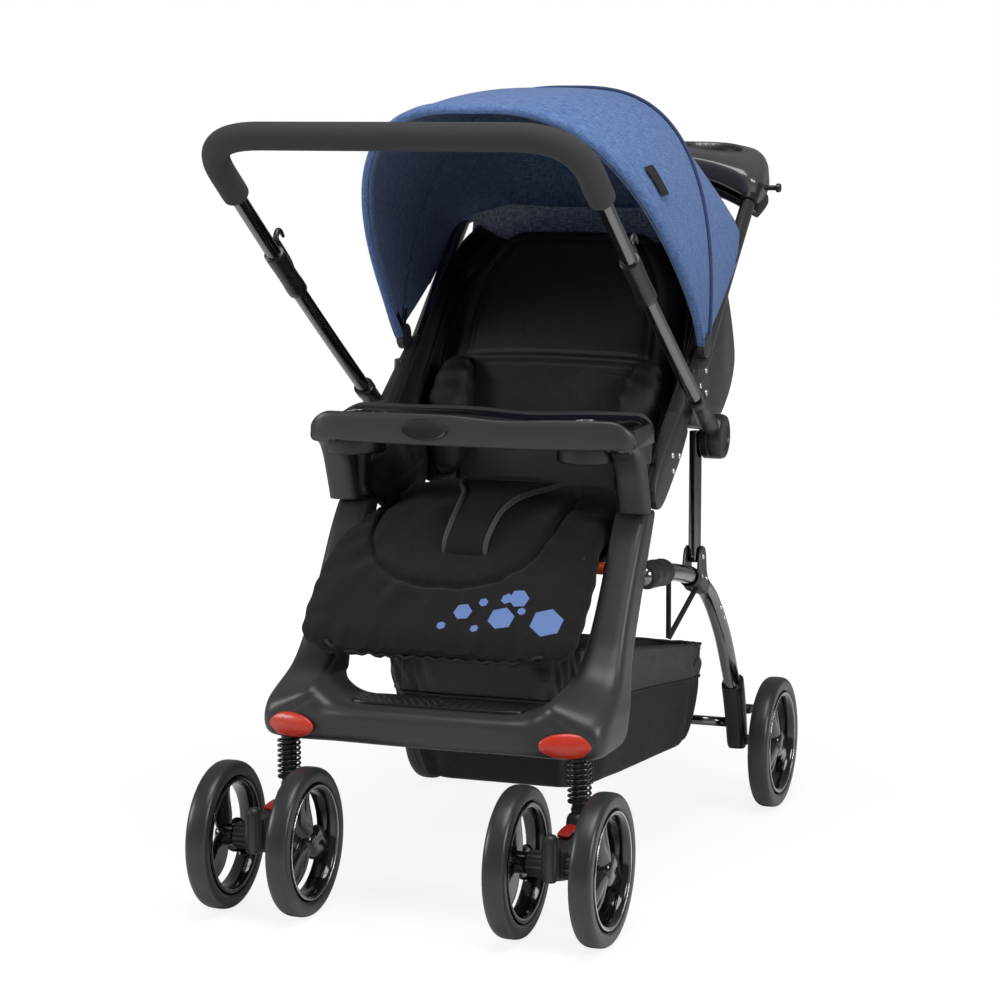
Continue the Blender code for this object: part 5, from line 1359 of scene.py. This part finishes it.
dress(strip_sheet, "push_frame", melange_painted_light)
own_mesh(strip_sheet)
for side, sign in SIDES:
    u, w = crossed(np.linspace(0, 1, 80), np.linspace(0, 1, 44))
    outer = route([
        (0.18, 0.352, 0.5), (0.1815, 0.4, 0.548), (0.1825, 0.4513, 0.59), (0.183, 0.514, 0.64),
        (0.183, 0.56, 0.681), (0.182, 0.6, 0.715), (0.177, 0.642, 0.752), (0.16, 0.664, 0.774),
    ], 80)
    side_share = np.linspace(0.0, 0.985, 80)
    inner_x = np.interp(side_share, back_stations[:, 0], back_stations[:, 1]) - 0.006
    inner_depth = np.interp(side_share, back_stations[:, 0], back_stations[:, 2:].mean(axis=1))[:, None]
    inner = BACK_LOW + side_share[:, None] * (BACK_HIGH - BACK_LOW)
    inner = inner + np.minimum(inner_depth, 0.012) * back_out
    inner[:, 0] = inner_x
    ripple = np.sin(np.pi * w) * (0.0022 * np.sin(9 * u + 4 * w) + 0.0012 * np.sin(23 * u - 6 * w))
    wing = outer[:, None] * (1 - w[..., None]) + inner[:, None] * w[..., None]
    ridge = 0.01 * bell(w - 0.42 + 0.05 * np.sin(3 * u), 0.1) + 0.007 * bell(w - 0.72, 0.07)
    wing = wing + ripple[..., None] * np.array([0.6, 0.3, 0.3])
    wing = wing + ((np.sin(np.pi * w) * 0.01) - ridge * np.sin(np.pi * u) ** 0.3)[..., None] * back_out
    wing[..., 0] *= sign
    wing_sheet = surface(f"wing_{side}", wing, turn=False)
    thicken(wing_sheet, 0.0016)
    dress(wing_sheet, "backrest", cloth_back)
    roll = tube(f"wing_roll_{side}", outer * np.array([sign, 1, 1]), 0.0032, (1, 0, 0), 20)
    dress(roll, "backrest", cloth_back)

# %% Bolsters beside the back and the seat
def bolster(name, line, wide, deep, body, seed):
    """A soft roll: ellipses along a line, pinched by wrinkles that cross it at random slants."""
    rng = np.random.default_rng(seed)
    path = route(line, 90)
    tangent = unit(np.gradient(path, axis=0))
    side = unit(np.cross(tangent, [0.0, 0.86, 0.5]))
    top = np.cross(side, tangent)
    t, angle = crossed(np.linspace(0, 1, 90), full_turn(64))
    wrinkle = np.zeros_like(t)
    for _ in range(8):
        k, m, phase = rng.uniform(10, 44), rng.integers(-3, 4), rng.uniform(0, 6.28)
        wrinkle += np.sin(k * t + m * angle + phase) / k**0.5
    ends = np.sin(np.pi * np.clip(t, 0.004, 0.996)) ** 0.33 * (1 + 0.1 * wrinkle)
    c, v = rounded(angle, 0.8)
    ring = (wide * ends * c)[..., None] * side[:, None] + (deep * ends * v)[..., None] * top[:, None]
    made = capped(name, path[:, None] + ring)
    return dress(made, body, cloth_back)


for side, sign in SIDES:
    along_back = [
        BACK_LOW + f * (BACK_HIGH - BACK_LOW) + back_out * d
        for f, d in ((0.02, -0.012), (0.18, -0.024), (0.34, -0.026), (0.47, -0.016))
    ]
    line = [
        point + np.array([sign * x, 0, 0])
        for point, x in zip(along_back, (0.12, 0.124, 0.128, 0.128))
    ]
    bolster(f"back_bolster_{side}", line, 0.027, 0.024, "backrest", 4 + sign)
    line = [
        (sign * 0.164, 0.296, 0.456), (sign * 0.162, 0.335, 0.472), (sign * 0.16, 0.385, 0.484),
        (sign * 0.158, 0.44, 0.494),
    ]
    bolster(f"seat_bolster_{side}", line, 0.0185, 0.044, "front_frame", 9 + sign)

# %% Pouch
pouch_line = np.array([
    [0.632, 0.73], [0.668, 0.7], [0.706, 0.652], [0.728, 0.606], [0.716, 0.574], [0.684, 0.548],
    [0.64, 0.528], [0.585, 0.52], [0.54, 0.528],
])
pouch_front = np.array([
    [0.62, 0.728], [0.606, 0.7], [0.585, 0.66], [0.566, 0.625], [0.552, 0.6], [0.54, 0.575],
    [0.528, 0.555], [0.52, 0.54], [0.518, 0.532],
])
t = np.linspace(-1, 1, 90)
outer, front_line = route(pouch_line, 60), route(pouch_front, 60)
full = (1 - np.abs(t) ** 10)[:, None] ** 0.6
wave = 0.004 * (np.sin(t * 9 + 1) + np.sin(t * 17))[:, None] * np.sin(np.linspace(0, 1, 60) * np.pi)
yz = (
    front_line[None] + (outer - front_line)[None] * (0.86 + 0.14 * full[..., None])
    + wave[..., None] * np.array([1.0, 0.4])
)
rear_x, front_x = (np.broadcast_to((half * t)[:, None, None], (90, 60, 1)) for half in (0.186, 0.18))
back_face = np.concatenate([rear_x, yz], -1)
front_face = np.concatenate([front_x, np.broadcast_to(front_line[None], (90, 60, 2))], -1)
loop = np.concatenate([back_face, front_face[:, ::-1][:, 1:-1]], 1)
pouch = capped("backrest_pouch", loop)
dress(pouch, "backrest", nylon_grey)
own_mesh(pouch)

# %% [markdown]
# ## Seat liner
#
# One padded bib runs from the back of the seat, over the front edge, down to a gathered
# hem. It is a closed pillow: a front face over a back face, both following one centre
# line across X. An oval seam, a puckered hem and radial folds are heights on the front
# face. Printed hexagons are one part of the colour.

# %% Liner
bib_line = np.array([
    [0.402, 0.444], [0.38, 0.4452], [0.35, 0.4425], [0.3, 0.4315], [0.26, 0.4235], [0.23, 0.411],
    [0.208, 0.395], [0.188, 0.379], [0.165, 0.36], [0.135, 0.331], [0.112, 0.309], [0.0985, 0.2955],
])
bib_half = np.array([0.152, 0.158, 0.162, 0.16, 0.16, 0.165, 0.17, 0.1735, 0.175, 0.175, 0.169, 0.142])
bib_shift = np.array([
    0.0, 0.0, 0.0, -0.002, -0.007, -0.012, -0.013, -0.013, -0.013, -0.013, -0.012, -0.01,
])
bib_thick = np.array([0.016, 0.036, 0.04, 0.04, 0.038, 0.034, 0.03, 0.028, 0.027, 0.026, 0.024, 0.01])
stations = route(np.column_stack([bib_line, bib_half, bib_thick, bib_shift]), 170)
bib_walk = walk(stations[:, None, :2], 0)
bib_u = bib_walk / bib_walk[-1]
tangent = unit(np.gradient(stations[:, :2], axis=0))
bib_out = np.column_stack([tangent[:, 1], -tangent[:, 0]])
bib_depth = stations[:, 3] / 2 + 0.008
turn = full_turn(260) + 0.004
c, v = rounded(turn, 0.62)
bib_x = c * stations[:, 2, None] + stations[:, 4, None]
x_share = np.broadcast_to(c, bib_x.shape)
top_side = np.clip(v * 2.5, 0, 1)
height = v * stations[:, 3, None] / 2
u = bib_u[:, None]
oval = (np.abs((bib_x + 0.022) / 0.117) ** 2.5 + np.abs((u - 0.36) / 0.385) ** 2.5) ** 0.4
oval_seam = bell(oval - 1, 0.03) * (u > 0.02)
inside = np.clip(1 - oval, 0, 1)
around = np.arctan2((u - 0.36) * 2.6, (bib_x + 0.022) / 0.117)
pucker = bell(oval - 1.13, 0.16) * (np.sin(around * 17) + 0.6 * np.sin(around * 29 + 1.3))
hem_pucker = bell(1 - u, 0.055) * (np.sin(bib_x * 190 + 0.5) + 0.6 * np.sin(bib_x * 330))
side_pucker = bell(1 - np.abs(x_share), 0.1) * (np.sin(u * 62) + 0.5 * np.sin(u * 104 + 1))
rng = np.random.default_rng(8)
soft = np.zeros_like(bib_x)
for _ in range(10):
    k, m, phase = rng.uniform(5, 30), rng.uniform(-22, 22), rng.uniform(0, 6.28)
    soft += np.sin(k * x_share + m * u + phase) / (abs(k) + abs(m)) ** 0.6
height = height + top_side * (
    0.007 * (1 - x_share**2) + 0.0055 * inside**0.5 - 0.0058 * oval_seam + 0.0017 * pucker + 0.0019 * soft
) + top_side * 0.0006 * side_pucker + 0.0012 * hem_pucker
bib = np.stack([
    bib_x + 0.0006 * np.sin(u * 70) * np.sign(bib_x) * bell(1 - np.abs(x_share), 0.1),
    stations[:, 0, None] + height * bib_out[:, 0, None],
    stations[:, 1, None] + height * bib_out[:, 1, None] + 0.0012 * hem_pucker,
], -1)
liner = capped("seat_liner", bib)
mark = liner.data.attributes.new("bib_place", "FLOAT_VECTOR", "POINT")
place = np.stack(np.broadcast_arrays(bib_x, bib_walk[:, None], v), -1)
mark.data.foreach_set("vector", place.astype(np.float32).ravel())
liner.data.materials.append(liner_black)
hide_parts("seat_pad", "leg_rest")
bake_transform(liner)
print("liner length", round(float(bib_walk[-1]), 3))

# %% Hem binding and crotch strap
hem_t = np.linspace(0, 1, 200)
hem_x = -0.009 + 0.137 * np.sin((hem_t - 0.5) * np.pi * 0.98) / math.sin(np.pi * 0.49)
hem = np.stack([
    hem_x, 0.0975 + 0.0012 * np.sin(hem_x * 190),
    0.2945 + 0.0014 * np.sin(hem_x * 330) + 0.012 * (np.abs(hem_x + 0.009) / 0.137) ** 6,
], -1)
binding = tube("hem_binding", hem, 0.0022, (0, 0.7, 0.7), 12)
dress(binding, "leg_rest", cloth_back)
liner_path = stations[:, :2]


def on_liner(share, lift):
    """A place (y, z) above the liner's front face at a share of its length."""
    count = np.arange(len(bib_u))
    row = np.clip(np.interp(share, bib_u, count), 0, len(bib_u) - 1)
    columns = (*liner_path.T, *bib_out.T, bib_depth)
    y, z, out_y, out_z, depth = (np.interp(row, count, column) for column in columns)
    return y + out_y * (depth + lift), z + out_z * (depth + lift)


strap_plan = (
    (0.622, -0.008, 0.0258), (0.6, 0.004, 0.0262), (0.55, 0.0085, 0.0266), (0.47, 0.0095, 0.0285),
    (0.4, 0.01, 0.034), (0.34, 0.011, 0.044), (0.29, 0.013, 0.058), (0.25, 0.015, 0.064),
)
strap_rows = np.array([(*on_liner(share, lift), half) for share, lift, half in strap_plan])
stations = route(strap_rows, 80)
tangent = unit(np.gradient(stations[:, :2], axis=0))
turn = full_turn(64) + 0.01
c, v = rounded(turn, 0.5)
lift = v * 0.0032
strap_x = -0.003 + 0.02 * np.linspace(0, 1, 80) ** 2.5
strap = np.stack([
    strap_x[:, None] + c * stations[:, 2, None],
    stations[:, 0, None] - lift * tangent[:, 1, None],
    stations[:, 1, None] + lift * tangent[:, 0, None],
], -1)
strap_piece = capped("crotch_strap_form", strap)
dress(strap_piece, "front_frame", liner_plain, ["crotch_strap"])
for side, sign in SIDES:
    line = np.column_stack([
        strap_x[4:] + sign * stations[4:, 2], stations[4:, 0], stations[4:, 1] + 0.003,
    ])
    cord = tube(f"strap_piping_{side}", line, 0.003, (1, 0, 0.2), 14)
    dress(cord, "front_frame", piping_grey)
x = np.linspace(-1, 1, 50)
line = np.column_stack([
    strap_x[-1] + 0.064 * x, 0 * x + stations[-1, 0], stations[-1, 1] + 0.0035 + 0.003 * (1 - x**2),
])
cord = tube("strap_piping_back", line, 0.0028, (0, 1, 0), 14)
dress(cord, "front_frame", piping_grey)

# %% [markdown]
# ## Child tray
#
# A wide shallow tray: a satin outer rail round a glossy deck. The section of the body is
# a rounded box whose front and rear edges are powers of the distance from the middle.
# Cup wells are dips in the deck, and the cups hang below.

# %% Tray body with sunken deck
TRAY_HALF = 0.2075
CUPS = ((0.134, 0.236), (-0.163, 0.236))
CUP_R = 0.036


def tray_rows():
    """Sizes of the body across X: place, middle and half of its depth, top height, and end trim."""
    share = np.sin(np.linspace(-0.5, 0.5, 150) * np.pi)
    x = TRAY_HALF * share
    far = np.abs(share)
    front = 0.1815 + 0.004 * far**4 + 0.01 * far**24
    rear = 0.2935 + 0.01 * far**2 - 0.034 * far**18
    trim = 1 - 0.05 * np.clip((far - 0.93) / 0.07, 0, 1) ** 2.2
    y_mid, y_half = (front + rear) / 2, (rear - front) / 2 * trim
    drop = 0.0035 * bell(x - 0.045, 0.055) - 0.0012 * bell(x + 0.03, 0.05)
    top = 0.5715 - drop - 0.018 * np.clip((far - 0.85) / 0.15, 0, 1) ** 2
    return x, y_mid, y_half, top, trim


x, y_mid, y_half, top, trim = tray_rows()
deck = np.linspace(-0.86, 0.86, 90)
loop_y = np.concatenate([
    [-0.93, -0.985, -1.0, -1.0, -0.996, -0.985, -0.955, -0.92, -0.885], deck,
    [0.885, 0.92, 0.955, 0.985, 1.0, 1.0, 0.97, 0.93],
])
wall = np.array([0.0, 0.02, 0.08, 0.5, 0.8, 0.93, 0.99, 1.0, 0.985])
rim = np.array([0.985, 1.0, 0.99, 0.9, 0.6, 0.15, 0.02, 0.0])
bottom = 0.534
loop_z = np.concatenate([wall, np.full(len(deck), 0.9), rim])
y = y_mid[:, None] + loop_y * y_half[:, None]
z = bottom + (top[:, None] - bottom) * loop_z * (0.55 + 0.45 * trim[:, None])
z = z + 0.005 * (loop_z < 0.5) * np.abs(x[:, None] / TRAY_HALF) ** 3
on_deck = np.zeros(len(loop_y), bool)
on_deck[len(wall):len(wall) + len(deck)] = True
fade = np.clip((0.955 - np.abs(x / TRAY_HALF)) / 0.03, 0, 1)[:, None]
dish = 0.0035 * fade * np.clip((0.83 - np.abs(loop_y)) / 0.06, 0, 1)
well = np.zeros_like(y)
for cx, cy in CUPS:
    far = np.hypot(x[:, None] - cx, y - cy)
    ring = 0.0016 * bell(far - CUP_R + 0.001, 0.0018)
    well = np.maximum(well, 0.02 * np.clip((CUP_R - 0.0035 - far) / 0.003, 0, 1)) - ring
z = z - on_deck * (dish + well)
tray_points = np.stack([np.broadcast_to(x[:, None], y.shape), y, z], -1)
tray = capped("tray_body", tray_points)
cup = [(0, 0.5165), (0.0325, 0.5165), (0.035, 0.5175), (0.0362, 0.52), (0.0362, 0.5365), (0, 0.5365)]
cups = [solid_of_turn("cup", cup, (cx, cy, 0), (0, 0, 1), 80) for cx, cy in CUPS]
cup_piece = sharpen(joined("tray_cups", cups), 40)
dress(cup_piece, "child_tray", tread_black)
arms = []
for side, sign in SIDES:
    path = [
        (0.196, 0.547), (0.212, 0.542), (0.227, 0.53), (0.238, 0.511), (0.247, 0.488), (0.2535, 0.47),
        (0.257, 0.457),
    ]
    inner, outer = POST_X - 0.011, 0.2066
    rows = []
    for i, (py, pz) in enumerate(path):
        before, after = np.array(path[max(i - 1, 0)]), np.array(path[min(i + 1, len(path) - 1)])
        d = unit(after - before)
        half = (0.015, 0.0135, 0.0122, 0.0112, 0.0108, 0.0102, 0.009)[i]
        rows.append((
            (sign * (inner + outer) / 2, py, pz), ((outer - inner) / 2, 0, 0),
            (0, -d[1] * half, d[0] * half),
        ))
    arms.append(loft("arm", rows, 50, 36, 0.55))
    sockets = [(0.016, 0.513), (0.0175, 0.5134), (0.0175, 0.536), (0.016, 0.536)]
    arms.append(ring_of_turn("socket", route(sockets, 12), (sign * POST_X, POST_Y, 0), (0, 0, 1), 40))
tray = joined("child_tray_form", [tray, *arms])
tray.data.materials.append(charcoal)
tray.data.materials.append(gloss_black)
centre = np.array([p.center for p in tray.data.polygons]) - ORIGIN
mid = np.interp(centre[:, 0], x, y_mid)
half = np.interp(centre[:, 0], x, y_half)
glossy = (
    (np.abs(centre[:, 1] - mid) < 0.87 * half) & (centre[:, 2] > 0.5405)
    & (np.abs(centre[:, 0]) < 0.955 * TRAY_HALF)
)
tray.data.polygons.foreach_set("material_index", glossy.astype(np.int32))
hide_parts("child_tray")
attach(tray, "child_tray")
turn, ring = crossed(full_turn(72), np.array([0.0, 0.8, 0.9, 0.96, 1.0, 1.0]))
lift = np.array([0.0002, 0.0002, 0.0006, 0.0014, 0.0006, -0.001])
badge_x = -0.0525 + 0.0295 * np.cos(turn) * ring
badge_z = 0.5535 + 0.0132 * np.sin(turn) * ring
badge_points = np.stack([badge_x, 0.1811 - lift + 0 * badge_x, badge_z], -1)
badge = face_out(surface("badge_recess", badge_points, closed_u=True, turn=False), 1e-6)
dress(badge, "child_tray", tread_black)

# %% [markdown]
# ## Parent console
#
# The console is a rounded bar that rises in the middle and leans forward at its ends,
# with a band below it. Two oval openings make cup wells. The inside of each well is painted
# near black: painted shade for the depth of the opening.

# %% Console
def console_loop(share, low):
    """One section across X, as centre, along and up; low gives the band below the top."""
    bend = share * share
    taper = 1 - 0.34 * bend**9
    centre = np.array([
        share * 0.205, 0.793 - 0.022 * bend - 0.012 * bend**4, 0.868 - 0.012 * bend - 0.022 * bend**3,
    ])
    tilt = math.radians(8 + 26 * bend)
    along = np.array([0, math.cos(tilt), math.sin(tilt) * 0.45])
    up = unit(np.array([0, -along[2], along[1]]))
    if low:
        return (centre - up * 0.027 * (1 + 0.35 * bend**3), along * 0.053 * taper, up * 0.0105 * taper)
    return (centre, along * 0.063 * taper, up * 0.0192 * (1 + 0.5 * bend**3) * (1 - 0.25 * bend**9))


SHARES = (-1.0, -0.97, -0.92, -0.85, -0.7, -0.5, -0.25, 0.0, 0.25, 0.5, 0.7, 0.85, 0.92, 0.97, 1.0)
WELL_X, WELL_Y = 0.126, 0.784
WELL_HALF = (0.046, 0.03)
points = loft_points([console_loop(s, False) for s in SHARES], 340, 240, 0.55, even=True)
middle = points.mean(axis=1, keepdims=True)
upper = np.clip((points - middle) @ np.array([0, -0.25, 0.97]) / 0.012, 0, 1)
for sign in (1, -1):
    far = np.hypot(
        (points[..., 0] - sign * WELL_X) / WELL_HALF[0], (points[..., 1] - WELL_Y) / WELL_HALF[1],
    )
    step = np.clip((1 - far) / 0.2, 0, 1)
    sink = 0.02 * step * step * (3 - 2 * step) - 0.0012 * bell(far - 1.06, 0.05)
    points[..., 2] -= sink * upper
top = capped("console_top_form", points)
flat_x = np.array([p.center.x for p in top.data.polygons])
flat_y = np.array([p.center.y for p in top.data.polygons]) - ORIGIN[1]
up_z = np.array([p.normal.z for p in top.data.polygons])
# The faces sunk inside each well get the near-black rubber finish: painted shade that stands in for the
# depth of the opening.
inside = np.hypot((np.abs(flat_x) - WELL_X) / WELL_HALF[0], (flat_y - WELL_Y) / WELL_HALF[1]) < 0.96
dress(top, "push_frame", (console_grey, tread_black), ["console_top"])
top.data.polygons.foreach_set("material_index", (inside & (up_z > 0)).astype(np.int32))
low = loft("band", [console_loop(s * 0.985, True) for s in SHARES], 120, 60, 0.6)
parts = [low]
PIN_REACH, PIN_ANGLE = 0.4236, math.radians(45.65)
pin = HUB + PIN_REACH * np.array([math.cos(PIN_ANGLE), math.sin(PIN_ANGLE)])
catch = [
    (0, 0.188), (0.0035, 0.188), (0.0035, 0.2185), (0.0058, 0.2195), (0.0062, 0.2225), (0.0052, 0.225),
    (0, 0.2255),
]
lead = unit(np.array([0, 0.757, 0.654]))
for side, sign in SIDES:
    foot = np.array([sign * SIDE_X, 0.733, 0.8185])
    parts.append(
        tube("socket", foot + lead * np.linspace(-0.016, 0.018, 12)[:, None], 0.0118, (1, 0, 0), 32)
    )
    parts.append(solid_of_turn("pin", catch, (0, *pin), (sign, 0, 0), 28))
shell = sharpen(joined("console_shell_form", parts), 50)
dress(shell, "push_frame", black_satin, ["console_shell"])

# %% [markdown]
# ## Basket
#
# The basket hangs from the rear tubes: a tapered bag whose rounded section grows from the
# floor to a wide nylon band. Below the band it is open mesh. Bound edges and straps
# complete it.

# %% Basket bag
basket_rings = np.array([
    [0.098, 0.15, 0.312, 0.1005, 0.588, 0.1065],
    [0.1045, 0.162, 0.305, 0.1015, 0.597, 0.1085],
    [0.11, 0.169, 0.296, 0.108, 0.606, 0.116],
    [0.118, 0.178, 0.27, 0.16, 0.606, 0.156],
    [0.126, 0.186, 0.238, 0.235, 0.6, 0.203],
    [0.13, 0.189, 0.225, 0.29, 0.592, 0.237],
])
levels = route(basket_rings, 96)
turn = full_turn(260)
c, s = rounded(turn, 0.24)
front_x, rear_x, fy, fz, ry, rz = (levels[:, k, None] for k in range(6))
deep = (s + 1) / 2
half_x = front_x + (rear_x - front_x) * deep
y = fy + (ry - fy) * deep
z = fz + (rz - fz) * deep
level = np.linspace(0, 1, 96)[:, None]
sag = 0.0034 * np.sin(np.pi * level) * (
    np.sin(turn * 9 + 3 * level) + 0.6 * np.sin(turn * 17 + 1 - 4 * level)
)
crinkle = 0.0016 * np.clip((level - 0.7) * 12, 0, 1) * (
    np.sin(turn * 41 + level * 14) + np.sin(turn * 23 + 2 - level * 22)
    + 0.8 * np.sin(turn * 13 + level * 31)
)
outward = np.stack([np.broadcast_to(c, y.shape), np.broadcast_to(s, y.shape)], -1)
bag = np.stack([c * half_x, y, z + 0 * y], -1)
bag[..., :2] += unit(outward) * (sag + crinkle)[..., None]
split = 72
floor_middle = bag[:1] * np.array([0.0, 0, 1]) + np.array([0, 0.45, 0.0])
mesh_rows = np.concatenate([floor_middle, bag[:split + 1]])
lower = surface("basket_mesh", mesh_rows, closed_v=True, turn=False)
thicken(lower, 0.001)
dress(lower, "front_frame", basket_mesh, ["basket"])
band = surface("basket_band", bag[split:], closed_v=True, turn=False)
thicken(band, 0.0016)
dress(band, "front_frame", nylon_grey)
edges = []
for row in (3, split, 95):
    loop = np.concatenate([bag[row], bag[row][:1]])
    edges.append(
        surface("edge", tube_points(loop, 0.0021, (0, 0, 1), 10)[:-1], closed_u=True, closed_v=True)
    )
for part in (0.055, 0.445, 0.56, 0.94):
    column = bag[2:, int(part * 260) % 260]
    edges.append(tube("edge", column, 0.0018, (0.3, 0.9, 0), 10))
bound = joined("basket_binding", edges)
dress(bound, "front_frame", cloth_back)
for side, sign in SIDES:
    eyelet = np.array([sign * 0.189, 0.3945, 0.279])
    for n, upper_end in enumerate(((0.202, 0.472, 0.332), (0.19, 0.39, 0.352))):
        t = np.linspace(0, 1, 30)[:, None]
        line = np.array(upper_end) * np.array([sign, 1, 1]) * (1 - t) + eyelet * t
        flat_strap = tube(f"basket_strap_{side}_{n}", line, 0.0034, (0, 1, 0.3), 16, 0.25)
        dress(flat_strap, "front_frame", cloth_back)
    loop_at = np.array([sign * SIDE_X, 0.466, 0.3455])
    around = full_turn(40)
    slope = unit(np.array([0, 0.062, -0.019]))
    upright = np.cross([1.0, 0, 0], slope)
    hoop = loop_at + 0.0122 * (
        np.cos(around)[:, None] * np.array([1.0, 0, 0]) + np.sin(around)[:, None] * upright
    )
    wide = np.linspace(-0.009, 0.009, 6)
    sleeve = hoop[None] + wide[:, None, None] * slope
    strap_loop = surface(f"basket_loop_{side}", sleeve, closed_v=True, turn=False)
    thicken(strap_loop, 0.001)
    dress(strap_loop, "rear_frame", cloth_back)

# %% Sleeves on the rear tubes, reached under the seat
for side, sign in SIDES:
    x = sign * SIDE_X
    line = route([(x, 0.272, 0.377), (x, 0.31, 0.3745), (x, 0.35, 0.37)], 40)
    girth = 0.0165 + 0.0007 * np.sin(np.linspace(0, 17, 40)) - 0.003 * np.linspace(-1, 1, 40) ** 12
    cuff = tube(f"tube_sleeve_{side}", line, girth, (1, 0, 0), 36)
    dress(cuff, "rear_frame", cloth_back)
